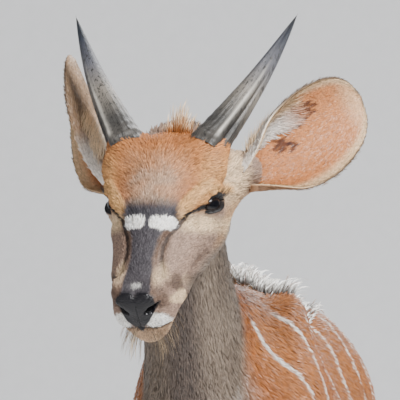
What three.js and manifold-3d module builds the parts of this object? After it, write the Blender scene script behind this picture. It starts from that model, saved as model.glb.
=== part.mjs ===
// A life-size, still model of a young nyala ram, standing alert with its head turned a little to its right.
// Millimetres, +Z up. The animal faces -Y, its left side is +X, and its hooves stand on z = 0.
import * as THREE from "three";
import { mergeVertices } from "three/addons/utils/BufferGeometryUtils.js";
import Module from "manifold-3d";

const wasm = await Module();
wasm.setup();

// Driving sizes of the animal
const WITHERS_HEIGHT = 885;
const EYE_HEIGHT = 965;
const EYES_AHEAD_OF_MIDDLE = 600;
const HEAD_ASIDE = -48;
const HEAD_YAW = -10;
const HEAD_PITCH = 40;
const HEAD_ROLL = 0;
const EYE_RADIUS = 16.5;
const EYE_SIDE = 42;
const EYE_TURN = 51;
const EYE_SLANT = 18;
const HORN_LENGTH = 170;
const EAR_LENGTH = 168;
const HOOF_HEIGHT = 46;
const GAP = 0.3;

const V = (x, y, z) => new THREE.Vector3(x, y, z);
const rad = THREE.MathUtils.degToRad;
const clamp = THREE.MathUtils.clamp;

// The head's own frame: x to its left, y back along the skull from the nose, z out of the forehead.
const headFrame = (() => {
  const yaw = rad(HEAD_YAW);
  const pitch = rad(HEAD_PITCH);
  const level = V(Math.sin(yaw), -Math.cos(yaw), 0);
  const back = level.clone().multiplyScalar(-Math.cos(pitch)).add(V(0, 0, Math.sin(pitch)));
  const dorsal = level.clone().multiplyScalar(Math.sin(pitch)).add(V(0, 0, Math.cos(pitch)));
  const frame = new THREE.Matrix4().makeBasis(back.clone().cross(dorsal), back, dorsal);
  const roll = new THREE.Matrix4().makeRotationAxis(level, rad(HEAD_ROLL));
  frame.premultiply(roll);
  return frame.setPosition(HEAD_ASIDE, -EYES_AHEAD_OF_MIDDLE, EYE_HEIGHT);
})();
const headInverse = headFrame.clone().invert();

// A smooth curve through rows of numbers, read at t from the rows' first column.
function readRows(rows, t) {
  const last = rows.length - 1;
  const at = clamp(t, rows[0][0], rows[last][0]);
  let i = 0;
  while (i < last - 1 && at > rows[i + 1][0]) i++;
  const [before, from, to, after] = [rows[Math.max(i - 1, 0)], rows[i], rows[i + 1], rows[Math.min(i + 2, last)]];
  const span = to[0] - from[0];
  const s = (at - from[0]) / span;
  const [h00, h10] = [(1 + 2 * s) * (1 - s) ** 2, s * (1 - s) ** 2];
  const [h01, h11] = [s * s * (3 - 2 * s), s * s * (s - 1)];
  return from.map((value, k) => {
    const slopeFrom = (to[k] - before[k]) / (to[0] - before[0]);
    const slopeTo = (after[k] - from[k]) / (after[0] - from[0]);
    return h00 * value + h10 * span * slopeFrom + h01 * to[k] + h11 * span * slopeTo;
  });
}

// Distances to simple flesh forms: below zero inside, above zero outside.
function blend(a, b, reach) {
  const h = Math.max(reach - Math.abs(a - b), 0) / reach;
  return Math.min(a, b) - h * h * reach * 0.25;
}

// A round taper from a to b. flat is its thickness across the body as a share of its radius.
function muscle(a, b, radiusA, radiusB, flat = 1) {
  const [from, to] = [a.clone(), b.clone()];
  const wide = 1 / flat;
  const along = V((to.x - from.x) * wide, to.y - from.y, to.z - from.z);
  const size = along.lengthSq();
  return (p) => {
    const [x, y, z] = [(p.x - from.x) * wide, p.y - from.y, p.z - from.z];
    const t = size > 0 ? clamp((x * along.x + y * along.y + z * along.z) / size, 0, 1) : 0;
    const away = Math.hypot(x - along.x * t, y - along.y * t, z - along.z * t);
    return (away - radiusA - (radiusB - radiusA) * t) * Math.min(1, flat * 1.2);
  };
}

// An egg with half sizes along the three axes.
function egg(centre, sizes) {
  const least = Math.min(sizes.x, sizes.y, sizes.z);
  return (p) =>
    (Math.hypot((p.x - centre.x) / sizes.x, (p.y - centre.y) / sizes.y, (p.z - centre.z) / sizes.z) - 1) * least;
}

// How far a point of a section, side and up from its middle, lies outside an oval that is wider above for taper > 0.
function ovalDistance(side, up, halfWidth, halfHeight, taper, roundness) {
  const width = halfWidth * (1 + (taper * clamp(up, -halfHeight, halfHeight)) / halfHeight);
  const share = Math.pow(
    Math.pow(Math.abs(side) / width, roundness) + Math.pow(Math.abs(up) / halfHeight, roundness),
    1 / roundness,
  );
  const away = Math.hypot(side, up);
  return share < 1e-3 ? -Math.min(halfWidth, halfHeight) : away - away / share;
}

function withEnd(distance, beyond) {
  return beyond <= 0 ? distance : Math.hypot(Math.max(distance, 0), beyond);
}

// Trunk: y, top, bottom, half width, taper of the section
const TRUNK = [
  [-408, 724, 655, 30, 0],
  [-385, 776, 612, 52, 0],
  [-340, 838, 574, 70, -0.25],
  [-270, WITHERS_HEIGHT - 4, 548, 82, -0.42],
  [-195, WITHERS_HEIGHT - 6, 536, 92, -0.42],
  [-110, 864, 527, 103, -0.36],
  [-10, 856, 520, 112, -0.3],
  [90, 857, 530, 111, -0.27],
  [170, 862, 563, 101, -0.24],
  [250, 862, 610, 88, -0.2],
  [325, 844, 642, 72, -0.12],
  [385, 808, 668, 54, 0],
  [416, 775, 700, 24, 0],
];
function trunk(p) {
  const [, top, bottom, half, taper] = readRows(TRUNK, p.y);
  const distance = ovalDistance(p.x, p.z - (top + bottom) / 2, half, (top - bottom) / 2, taper, 2.05);
  return withEnd(distance, Math.max(TRUNK[0][0] - p.y, p.y - TRUNK.at(-1)[0]));
}

// Neck: place along it, x, y, z, half depth, half width
const NECK = [
  [0, -8, -258, 712, 146, 80],
  [1, -29, -338, 786, 108, 58],
  [2, -38, -402, 864, 80, 49],
  [3, -41, -464, 942, 62, 44],
  [4, -40, -526, 1012, 53, 40],
];
const neckLine = Array.from({ length: 41 }, (_, i) => readRows(NECK, i / 10));
function neck(p) {
  let [best, nearest] = [Infinity, 0];
  neckLine.forEach(([, x, y, z], i) => {
    const away = (p.x - x) ** 2 + (p.y - y) ** 2 + (p.z - z) ** 2;
    if (away < best) [best, nearest] = [away, i];
  });
  const i = clamp(nearest, 1, neckLine.length - 2);
  const along = V(...neckLine[i + 1].slice(1, 4)).sub(V(...neckLine[i - 1].slice(1, 4))).normalize();
  const at = neckLine[nearest];
  const away = V(p.x - at[1], p.y - at[2], p.z - at[3]);
  const side = V(0, 0, 1).cross(along).normalize();
  const up = along.clone().cross(side);
  const beyond = Math.abs(away.dot(along)) - 8;
  return withEnd(ovalDistance(away.dot(side), away.dot(up), at[5], at[4], 0, 2), beyond);
}

// Skull and muzzle in the head's frame: y, top, bottom, half width, taper, roundness
const SKULL = [
  [-146, 0, -40, 20, 0, 2],
  [-134, 10, -50, 28, 0, 2.3],
  [-115, 17, -56, 30, 0.02, 2.3],
  [-90, 25, -60, 30, 0.05, 2.3],
  [-60, 34, -64, 34, 0.12, 2.3],
  [-30, 45, -68, 41, 0.2, 2.3],
  [0, 54, -72, 47, 0.25, 2.3],
  [30, 56, -76, 51, 0.25, 2.3],
  [62, 42, -78, 50, 0.16, 2.2],
  [92, 22, -68, 42, 0, 2.1],
  [112, 4, -44, 24, 0, 2],
];
function skull(q) {
  const [, top, bottom, half, taper, roundness] = readRows(SKULL, q.y);
  const distance = ovalDistance(q.x, q.z - (top + bottom) / 2, half, (top - bottom) / 2, taper, roundness);
  return withEnd(distance, Math.max(SKULL[0][0] - q.y, q.y - SKULL.at(-1)[0]));
}

// Forms on one side of the head, each with how far it blends into the rest
const faceForms = {
  brow: { reach: 16, form: muscle(V(37, -26, 21), V(47, 20, 27), 9, 13) },
  behindBrow: { reach: 18, form: muscle(V(47, 20, 27), V(45, 55, 34), 12, 14) },
  hornSeat: { reach: 16, form: muscle(V(35, 26, 38), V(42, 47, 37), 17, 17) },
  cheekBone: { reach: 18, form: muscle(V(36, -26, -22), V(47, 50, -18), 12, 13) },
  chewingMuscle: { reach: 26, form: egg(V(34, 38, -44), V(18, 42, 32)) },
  jaw: { reach: 20, form: muscle(V(8, -118, -52), V(27, 45, -66), 12, 15) },
  faceSide: { reach: 18, form: muscle(V(32, -34, -10), V(24, -100, -12), 14, 12) },
  upperLip: { reach: 10, form: muscle(V(12, -137, -29), V(26, -96, -36), 13, 10) },
  nostrilWing: { reach: 8, form: muscle(V(14, -139, -3), V(21, -126, 1), 11, 9) },
  earRoot: { reach: 22, form: muscle(V(46, 70, -20), V(62, 74, -18), 25, 21) },
};
const noseTip = muscle(V(0, -142, -8), V(0, -137, -26), 13, 13);
const chin = muscle(V(0, -122, -57), V(0, -106, -58), 14, 13);
function head(p) {
  const q = p.clone().applyMatrix4(headInverse);
  const sideways = V(Math.abs(q.x), q.y, q.z);
  let distance = skull(q);
  for (const { form, reach } of Object.values(faceForms)) distance = blend(distance, form(sideways), reach);
  distance = blend(distance, noseTip(q), 8);
  return blend(distance, chin(q), 10);
}

// Legs: joints of the left legs as they stand square; stride moves the foot along y and nothing at the top.
const LEG_TOP = 700;
const STRIDE = { left_fore: -22, right_fore: 26, left_hind: 30, right_hind: -30 };
function jointsOf(leg, square) {
  const side = leg.startsWith("left") ? 1 : -1;
  const stride = STRIDE[leg];
  const placed = {};
  for (const [name, [x, y, z]] of Object.entries(square))
    placed[name] = V(side * x, y + stride * Math.max(0, 1 - z / LEG_TOP), z);
  return placed;
}
const FORE_SQUARE = {
  blade: [55, -262, 836],
  shoulder: [76, -352, 668],
  upperArm: [70, -252, 735],
  elbow: [82, -252, 562],
  knee: [72, -262, 296],
  fetlock: [70, -262, 112],
  coronet: [70, -279, 56],
};
const HIND_SQUARE = {
  croup: [44, 222, 806],
  hip: [61, 272, 742],
  seat: [50, 372, 735],
  hamstring: [78, 305, 570],
  stifle: [90, 176, 606],
  heel: [70, 356, 398],
  hock: [70, 336, 362],
  fetlock: [70, 306, 113],
  coronet: [70, 288, 57],
};
const ahead = (p, y, z = 0) => V(p.x, p.y + y, p.z + z);
const aside = (p, x) => V(p.x + x, p.y, p.z);

function footForms(fetlock, coronet) {
  const forms = [{ reach: 8, form: muscle(ahead(fetlock, 0, 2), ahead(fetlock, 4, -8), 17.5, 16.5) }];
  for (const toe of [-1, 1]) {
    const root = aside(ahead(fetlock, -4, -14), toe * 6);
    forms.push({ reach: 9, form: muscle(root, aside(ahead(coronet, 2, -14), toe * 11.5), 13, 13.5, 0.82) });
    forms.push({ reach: 4, form: egg(aside(ahead(fetlock, 22, -12), toe * 12), V(6.5, 8, 12)) });
  }
  return forms;
}
function foreForms(j) {
  return [
    { reach: 45, form: muscle(j.blade, j.shoulder, 46, 56, 0.5) },
    { reach: 40, form: muscle(j.shoulder, j.elbow, 52, 44, 0.7) },
    { reach: 45, form: muscle(j.upperArm, ahead(j.elbow, 14, 22), 66, 44, 0.5) },
    { reach: 26, form: muscle(ahead(j.elbow, 0, -4), ahead(j.elbow, -6, -95), 37, 31, 0.72) },
    { reach: 22, form: muscle(ahead(j.elbow, -6, -90), ahead(j.knee, 0, 22), 30, 19, 0.85) },
    { reach: 14, form: muscle(ahead(j.knee, -4, 12), ahead(j.knee, -3, -14), 20, 18.5, 0.95) },
    { reach: 10, form: muscle(ahead(j.knee, 12, 8), ahead(j.knee, 10, -8), 11, 9, 1) },
    { reach: 14, form: muscle(j.knee, j.fetlock, 14.5, 14, 0.85) },
    { reach: 12, form: muscle(ahead(j.knee, 8, -30), ahead(j.fetlock, 7, 20), 9, 9.5, 0.85) },
    ...footForms(j.fetlock, j.coronet),
  ];
}
function hindForms(j) {
  return [
    { reach: 50, form: muscle(j.croup, j.hip, 54, 70, 0.62) },
    { reach: 50, form: muscle(j.hip, ahead(j.stifle, 8, 14), 88, 52, 0.55) },
    { reach: 45, form: muscle(j.seat, j.hamstring, 62, 46, 0.55) },
    { reach: 34, form: muscle(ahead(j.stifle, 8, -6), ahead(j.hock, -24, 120), 47, 34, 0.62) },
    { reach: 26, form: muscle(ahead(j.hock, -30, 130), ahead(j.hock, -2, 14), 31, 19, 0.72) },
    { reach: 24, form: muscle(ahead(j.hamstring, 20, -20), ahead(j.heel, -2, 6), 22, 9.5, 0.75) },
    { reach: 10, form: muscle(ahead(j.heel, -3, 4), ahead(j.hock, 12, -10), 12.5, 11, 0.9) },
    { reach: 14, form: muscle(ahead(j.hock, -2, 8), ahead(j.hock, -3, -22), 20.5, 18, 0.9) },
    { reach: 14, form: muscle(ahead(j.hock, -1, -16), j.fetlock, 16, 14.5, 0.82) },
    { reach: 12, form: muscle(ahead(j.hock, 10, -40), ahead(j.fetlock, 7, 20), 9.5, 9.5, 0.85) },
    ...footForms(j.fetlock, j.coronet),
  ];
}
const legs = {};
for (const name of ["left_fore", "right_fore", "left_hind", "right_hind"]) {
  const fore = name.endsWith("fore");
  const joints = jointsOf(name, fore ? FORE_SQUARE : HIND_SQUARE);
  legs[name] = { fore, side: name.startsWith("left") ? 1 : -1, joints, forms: (fore ? foreForms : hindForms)(joints) };
}

// Forms that join the limbs and the neck to the trunk
const trunkForms = [
  { reach: 60, form: egg(V(0, -362, 672), V(62, 62, 92)) },
  { reach: 40, form: muscle(V(0, -300, WITHERS_HEIGHT - 40), V(0, -180, WITHERS_HEIGHT - 36), 36, 34, 0.7) },
];
const TAIL = [V(0, 394, 808), V(0, 433, 764), V(0, 440, 690), V(0, 436, 606)];
const TAIL_RADII = [21, 21, 22, 13];
const tailForms = TAIL.slice(1).map((p, i) => {
  return { reach: 16, form: muscle(TAIL[i], p, TAIL_RADII[i], TAIL_RADII[i + 1]) };
});

function legField(leg) {
  return (p) => leg.forms.reduce((distance, { form, reach }) => blend(distance, form(p), reach), 1e3);
}
function trunkField(p) {
  const forms = [...trunkForms, ...tailForms];
  return forms.reduce((distance, { form, reach }) => blend(distance, form(p), reach), trunk(p));
}
function flesh(p) {
  let distance = blend(trunkField(p), neck(p), 46);
  for (const leg of Object.values(legs))
    distance = leg.forms.reduce((d, { form, reach }) => blend(d, form(p), reach), distance);
  return blend(distance, head(p), 24);
}

// One cell of a grid: its corners, its edges as corner and axis, and the corners round each face
const CORNERS = Array.from({ length: 8 }, (_, c) => [c & 1, (c >> 1) & 1, c >> 2]);
const EDGES = CORNERS.flatMap((_, c) => [0, 1, 2].filter((m) => !(c & (1 << m))).map((m) => [c, m]));
const edgeKey = (corner, axis) => corner * 3 + axis;
const CELL_SIDES = [0, 1, 2].flatMap((m) => {
  const [u, w] = [1 << ((m + 1) % 3), 1 << ((m + 2) % 3)];
  return [0, 1 << m].map((base) => [base, base | u, base | u | w, base | w]);
});

// The separate sheets of surface in one cell, each a list of the edges it crosses
function sheetsOf(inside) {
  const crossed = EDGES.filter(([c, m]) => inside[c] !== inside[c | (1 << m)]).map(([c, m]) => edgeKey(c, m));
  const sheet = new Map(crossed.map((key) => [key, key]));
  const join = (a, b) => {
    const [from, to] = [sheet.get(a), sheet.get(b)];
    for (const [key, value] of sheet) if (value === from) sheet.set(key, to);
  };
  for (const ring of CELL_SIDES) {
    const keys = ring.map((c, n) => {
      const next = ring[(n + 1) % 4];
      return inside[c] === inside[next] ? null : edgeKey(Math.min(c, next), Math.log2(c ^ next));
    });
    const found = keys.filter((key) => key !== null);
    if (found.length === 2) join(found[0], found[1]);
    if (found.length === 4) ring.forEach((c, n) => inside[c] && join(keys[n], keys[(n + 3) % 4]));
  }
  return [...new Set(sheet.values())].map((name) => crossed.filter((key) => sheet.get(key) === name));
}

// The surface of a field as a closed mesh, with a point for each sheet of it in each cell of a grid.
function surfaceOf(field, low, high, cell, frame = new THREE.Matrix4()) {
  const [nx, ny, nz] = [0, 1, 2].map((k) => Math.ceil((high[k] - low[k]) / cell[k]) + 1);
  const at = (i, j, k) => V(low[0] + i * cell[0], low[1] + j * cell[1], low[2] + k * cell[2]);
  const index = (i, j, k) => i + nx * (j + ny * k);
  const world = (p) => p.clone().applyMatrix4(frame);
  const values = new Float64Array(nx * ny * nz).fill(1);
  for (let k = 1; k < nz - 1; k++)
    for (let j = 1; j < ny - 1; j++)
      for (let i = 1; i < nx - 1; i++) values[index(i, j, k)] = field(world(at(i, j, k)));
  const points = [];
  const pointOf = new Map();
  const KEYS = 24;
  for (let k = 0; k < nz - 1; k++)
    for (let j = 0; j < ny - 1; j++)
      for (let i = 0; i < nx - 1; i++) {
        const v = CORNERS.map(([a, b, c]) => values[index(i + a, j + b, k + c)]);
        const inside = v.map((x) => x < 0);
        if (inside.every((x) => x === inside[0])) continue;
        for (const keys of sheetsOf(inside)) {
          const sum = V(0, 0, 0);
          for (const key of keys) {
            const [c, m] = [Math.floor(key / 3), key % 3];
            const crossing = V(...CORNERS[c]);
            crossing.setComponent(m, v[c] / (v[c] - v[c | (1 << m)]));
            sum.add(crossing);
            pointOf.set(index(i, j, k) * KEYS + key, points.length);
          }
          sum.divideScalar(keys.length);
          points.push(world(at(i + sum.x, j + sum.y, k + sum.z)));
        }
      }
  points.forEach((p) => ontoSurface(field, p, Math.min(...cell) * 0.7));
  const faces = [];
  for (let k = 0; k < nz - 1; k++)
    for (let j = 0; j < ny - 1; j++)
      for (let i = 0; i < nx - 1; i++)
        for (const m of [0, 1, 2]) {
          const step = CORNERS[1 << m];
          const here = values[index(i, j, k)] < 0;
          if (here === values[index(i + step[0], j + step[1], k + step[2])] < 0) continue;
          const [u, w] = [1 << ((m + 1) % 3), 1 << ((m + 2) % 3)];
          const ring = [0, u, u | w, w].map((corner) => {
            const [a, b, c] = CORNERS[corner];
            return pointOf.get(index(i - a, j - b, k - c) * KEYS + edgeKey(corner, m));
          });
          if (!here) ring.reverse();
          const [d0, d1] = [0, 1].map((n) => points[ring[n]].distanceTo(points[ring[n + 2]]));
          const [q0, q1, q2, q3] = ring;
          if (d0 < d1) faces.push(q0, q1, q2, q0, q2, q3);
          else faces.push(q0, q1, q3, q1, q2, q3);
        }
  return geometryOf(points, faces);
}

function ontoSurface(field, p, most) {
  const STEP = 0.5;
  const start = p.clone();
  for (let round = 0; round < 3; round++) {
    const here = field(p);
    const slope = V(
      field(V(p.x + STEP, p.y, p.z)) - field(V(p.x - STEP, p.y, p.z)),
      field(V(p.x, p.y + STEP, p.z)) - field(V(p.x, p.y - STEP, p.z)),
      field(V(p.x, p.y, p.z + STEP)) - field(V(p.x, p.y, p.z - STEP)),
    ).divideScalar(2 * STEP);
    const steepness = Math.max(slope.lengthSq(), 0.05);
    p.addScaledVector(slope, -here / steepness);
  }
  if (!(p.distanceTo(start) < most)) p.copy(start);
}

function geometryOf(points, faces) {
  const geometry = new THREE.BufferGeometry();
  geometry.setAttribute("position", new THREE.Float32BufferAttribute(points.flatMap((p) => [p.x, p.y, p.z]), 3));
  return geometry.setIndex(faces);
}

// Closed meshes as solids that can be joined and cut, and back
function solidOf(geometry, frame = new THREE.Matrix4()) {
  const bare = new THREE.BufferGeometry();
  bare.setAttribute("position", geometry.getAttribute("position").clone());
  if (geometry.index) bare.setIndex(geometry.index.clone());
  bare.applyMatrix4(frame);
  const merged = mergeVertices(bare, 1e-3);
  const solid = new wasm.Manifold(
    new wasm.Mesh({
      numProp: 3,
      vertProperties: merged.attributes.position.array,
      triVerts: new Uint32Array(merged.index.array),
    }),
  );
  return solid;
}
// The largest closed surface of a solid as a mesh, without loose bits or sealed hollows
function meshOf(name, solid, material) {
  const { vertProperties, triVerts, numProp } = solid.getMesh();
  const parent = Array.from({ length: vertProperties.length / numProp }, (_, i) => i);
  const rootOf = (i) => {
    while (parent[i] !== i) i = parent[i];
    return i;
  };
  const corner = (i) => V(...vertProperties.slice(i * numProp, i * numProp + 3));
  const volumes = new Map();
  for (let t = 0; t < triVerts.length; t += 3)
    for (const other of [1, 2]) parent[rootOf(triVerts[t + other])] = rootOf(triVerts[t]);
  for (let t = 0; t < triVerts.length; t += 3) {
    const [a, b, c] = [0, 1, 2].map((k) => corner(triVerts[t + k]));
    const piece = rootOf(triVerts[t]);
    volumes.set(piece, (volumes.get(piece) ?? 0) + a.dot(b.cross(c)));
  }
  const best = [...volumes].reduce((a, b) => (b[1] > a[1] ? b : a))[0];
  const faces = Array.from(triVerts).filter((_, i) => rootOf(triVerts[3 * Math.floor(i / 3)]) === best);
  const numbers = new Map();
  const flat = [];
  for (const vertex of faces)
    if (!numbers.has(vertex)) {
      numbers.set(vertex, numbers.size);
      flat.push(...corner(vertex).toArray());
    }
  const geometry = new THREE.BufferGeometry();
  geometry.setAttribute("position", new THREE.Float32BufferAttribute(flat, 3));
  geometry.setIndex(faces.map((vertex) => numbers.get(vertex)));
  geometry.computeVertexNormals();
  const mesh = new THREE.Mesh(geometry, material);
  mesh.name = name;
  return mesh;
}

// Everything behind a plane through a point, as a solid to cut with
const FAR = 3000;
function halfSpace(point, outward) {
  const box = new THREE.BoxGeometry(FAR, FAR, FAR).translate(0, 0, FAR / 2);
  const turn = new THREE.Quaternion().setFromUnitVectors(V(0, 0, 1), outward.clone().normalize());
  return solidOf(box, new THREE.Matrix4().compose(point, turn, V(1, 1, 1)));
}

// A skin of rings with as many points each, closed at both ends. The last ring may be a single point.
function ringsGeometry(rings) {
  const around = rings[0].length;
  const tip = rings.at(-1).length === 1;
  const points = rings.flat();
  const faces = [];
  const bands = rings.length - (tip ? 2 : 1);
  for (let r = 0; r < bands; r++)
    for (let i = 0; i < around; i++) {
      const [a, b] = [r * around + i, r * around + ((i + 1) % around)];
      faces.push(a, b, b + around, a, b + around, a + around);
    }
  for (let i = 1; i < around - 1; i++) faces.push(0, i + 1, i);
  const last = bands * around;
  if (tip) for (let i = 0; i < around; i++) faces.push(last + i, last + ((i + 1) % around), points.length - 1);
  else for (let i = 1; i < around - 1; i++) faces.push(last, last + i, last + i + 1);
  return geometryOf(points, faces);
}

// Eyes: a ball on each side, looking outward and a little forward
const SKIN_OVER_EYE = 2.6;
const EYE_OPENING = { corner: rad(57), upper: rad(34), lower: rad(29) };
function eyeFrame(side) {
  const [turn, slant, pitch] = [rad(EYE_TURN), rad(EYE_SLANT), rad(HEAD_PITCH)];
  const level = V(0, -Math.cos(pitch), Math.sin(pitch));
  const upright = V(0, Math.sin(pitch), Math.cos(pitch));
  const look = V(side * Math.sin(turn), 0, 0).addScaledVector(level, Math.cos(turn));
  const back = V(side * Math.cos(turn), 0, 0).addScaledVector(level, -Math.sin(turn));
  const rear = back.clone().multiplyScalar(Math.cos(slant)).addScaledVector(upright, Math.sin(slant));
  const up = upright.clone().multiplyScalar(Math.cos(slant)).addScaledVector(back, -Math.sin(slant));
  return { centre: V(side * EYE_SIDE, 0, 0), look, rear, up };
}
function eyeball(side, radius) {
  const { centre } = eyeFrame(side);
  const ball = new THREE.SphereGeometry(radius, 16, 9);
  return solidOf(ball.translate(centre.x, centre.y, centre.z), headFrame);
}
// The gap between the lids: almond in section, from inside the eye to a point well outside it
function lidOpening(side) {
  const { centre, look, rear, up } = eyeFrame(side);
  const AROUND = 20;
  const REACH = EYE_RADIUS + 10;
  const ring = (size) =>
    Array.from({ length: AROUND }, (_, i) => {
      const turn = (2 * Math.PI * i) / AROUND;
      const across = EYE_OPENING.corner * Math.cos(turn);
      const height = Math.sin(turn) > 0 ? EYE_OPENING.upper : EYE_OPENING.lower;
      const lift = height * Math.sin(turn) * Math.abs(Math.sin(turn)) ** 0.35;
      const aim = look.clone().addScaledVector(rear, Math.tan(across)).addScaledVector(up, Math.tan(lift));
      return centre.clone().addScaledVector(aim.normalize(), size);
    });
  const outer = centre.clone().addScaledVector(look, 2.4 * REACH);
  return closedSolid(ringsGeometry([ring(EYE_RADIUS * 0.7), ring(REACH), [outer]]), headFrame);
}
function closedSolid(geometry, frame) {
  const solid = solidOf(geometry, frame);
  if (solid.volume() > 0) return solid;
  const turned = geometry.clone();
  const faces = Array.from(geometry.index.array);
  for (let i = 0; i < faces.length; i += 3) [faces[i + 1], faces[i + 2]] = [faces[i + 2], faces[i + 1]];
  return solidOf(turned.setIndex(faces), frame);
}

// A bent taper through points with a radius at each, of few sides
function taper(points, radii, sides, frame = new THREE.Matrix4()) {
  const rings = points.map((p, i) => {
    const along = points[Math.min(i + 1, points.length - 1)].clone().sub(points[Math.max(i - 1, 0)]).normalize();
    const across = V(0.3, 0.2, 1).cross(along).normalize();
    const other = along.clone().cross(across);
    return Array.from({ length: sides }, (_, k) => {
      const turn = (2 * Math.PI * k) / sides;
      return p
        .clone()
        .addScaledVector(across, radii[i] * Math.cos(turn))
        .addScaledVector(other, radii[i] * Math.sin(turn));
    });
  });
  return closedSolid(ringsGeometry(rings), frame);
}

// Nostrils: comma-shaped, wide at the front and running up and back
const NOSTRIL = [V(9, -158, -12), V(16, -151, -9), V(22, -143, -4), V(27, -134, 3)];
const NOSTRIL_RADII = [2.6, 5.2, 4.4, 1.6];
function nostril(side) {
  const points = NOSTRIL.map((p) => V(side * p.x, p.y, p.z));
  return taper(points, NOSTRIL_RADII, 7, headFrame);
}

// The line between the lips: a thin groove round the front of the muzzle, back to the corners of the mouth
const MOUTH = { corner: -86, height: -47, drop: -4, groove: 2.2, depth: 4.5 };
function mouthGroove() {
  const STEPS = 8;
  const heightAt = (y) => {
    const t = (MOUTH.corner - y) / (MOUTH.corner + 148);
    return MOUTH.height - MOUTH.drop * Math.sin(Math.PI * clamp(t, 0, 1) * 0.75);
  };
  const line = Array.from({ length: STEPS + 1 }, (_, i) => MOUTH.corner + ((-175 - MOUTH.corner) * i) / STEPS);
  const shape = new THREE.Shape();
  line.forEach((y, i) => {
    const open = MOUTH.groove * Math.min(1, 0.35 + i * 0.4);
    if (i === 0) shape.moveTo(y, heightAt(y) + open / 2);
    else shape.lineTo(y, heightAt(y) + open / 2);
  });
  [...line].reverse().forEach((y) => shape.lineTo(y, heightAt(y) - MOUTH.groove / 2));
  const band = new THREE.ExtrudeGeometry(shape, { depth: 140, bevelEnabled: false });
  const turn = new THREE.Matrix4().makeBasis(V(0, 1, 0), V(0, 0, 1), V(1, 0, 0)).setPosition(-70, 0, 0);
  const slab = closedSolid(band, turn.premultiply(headFrame));
  const inner = surfaceOf((p) => head(p) + MOUTH.depth, [-60, -170, -70], [60, -70, 40], [12, 12, 12], headFrame);
  return slab.subtract(solidOf(inner));
}

// Horns: nearly straight spikes, a little bowed, with a keel along the inner front
const HORN_ROOT = V(41.5, 49, 37);
const HORN_AIM = V(71, 137, 52).normalize();
const HORN_RADIUS = 20.5;
const HORN_SUNK = 0.04;
function hornRing(side, t, around, room) {
  const aim = V(side * HORN_AIM.x, HORN_AIM.y, HORN_AIM.z);
  const front = V(0, -HORN_AIM.z, HORN_AIM.y).normalize();
  front.addScaledVector(aim, -front.dot(aim)).normalize();
  const outer = aim.clone().cross(front).normalize();
  const bow = 5 * Math.sin(Math.PI * clamp(t, 0, 1));
  const middle = V(side * HORN_ROOT.x, HORN_ROOT.y, HORN_ROOT.z)
    .addScaledVector(aim, HORN_LENGTH * t)
    .addScaledVector(V(side, 0, 0), bow);
  const radius = HORN_RADIUS * Math.pow(Math.max(1 - t, 0.004), 0.82) + room;
  return Array.from({ length: around }, (_, i) => {
    const turn = (2 * Math.PI * i) / around;
    const keel = 0.16 * Math.exp(-(((turn - Math.PI * (1 - 0.15 * side)) % (2 * Math.PI)) ** 2) * 8) * (1 - t);
    return middle
      .clone()
      .addScaledVector(front, -radius * Math.cos(turn) * (1 + keel) * 1.06)
      .addScaledVector(outer, radius * Math.sin(turn) * (1 + keel) * 0.94);
  });
}
function horn(side, room) {
  const LEVELS = 11;
  const rings = Array.from({ length: LEVELS }, (_, i) => {
    const deeper = i === 0 ? room / HORN_LENGTH : 0;
    return hornRing(side, -HORN_SUNK - deeper + ((1 + HORN_SUNK) * i) / LEVELS, 14, room);
  });
  rings.push([hornRing(side, 1, 1, 0)[0]]);
  return closedSolid(ringsGeometry(rings), headFrame);
}

// Ears: a leaf rolled into a tube at its root and opening to a shallow cup
// Each ear: aim from root to tip, and the way its cup opens, both in the figure's frame
const EARS = {
  left_ear: { side: 1, aim: V(120, 72, 84), open: V(0.25, -0.95, -0.12) },
  right_ear: { side: -1, aim: V(-64, 86, 112), open: V(-0.92, -0.2, -0.28) },
};
const EAR_ROOT = V(56, 70, -25);
// Along the ear: half width round the curve, half angle of the roll in degrees, lift of the midline
const EAR_ROWS = [
  [0, 37, 150, 0],
  [0.14, 48, 112, 1],
  [0.28, 57, 84, 1],
  [0.48, 59, 68, 0],
  [0.68, 52, 56, -3],
  [0.85, 39, 44, -5],
  [0.95, 23, 36, -6],
  [1, 4, 30, -7],
];
function earFrame({ side, aim, open }) {
  const root = V(side * EAR_ROOT.x, EAR_ROOT.y, EAR_ROOT.z).applyMatrix4(headFrame);
  const along = aim.clone().normalize();
  const face = open.clone().addScaledVector(along, -open.dot(along)).normalize();
  return { root, along, face, across: along.clone().cross(face) };
}
function earPoint(frame, u, v) {
  const [, half, roll, lift] = readRows(EAR_ROWS, u);
  const turn = rad(roll) * v;
  const bend = half / rad(roll);
  return frame.root
    .clone()
    .addScaledVector(frame.along, EAR_LENGTH * u)
    .addScaledVector(frame.across, bend * Math.sin(turn))
    .addScaledVector(frame.face, bend * (1 - Math.cos(turn)) + lift);
}
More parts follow.
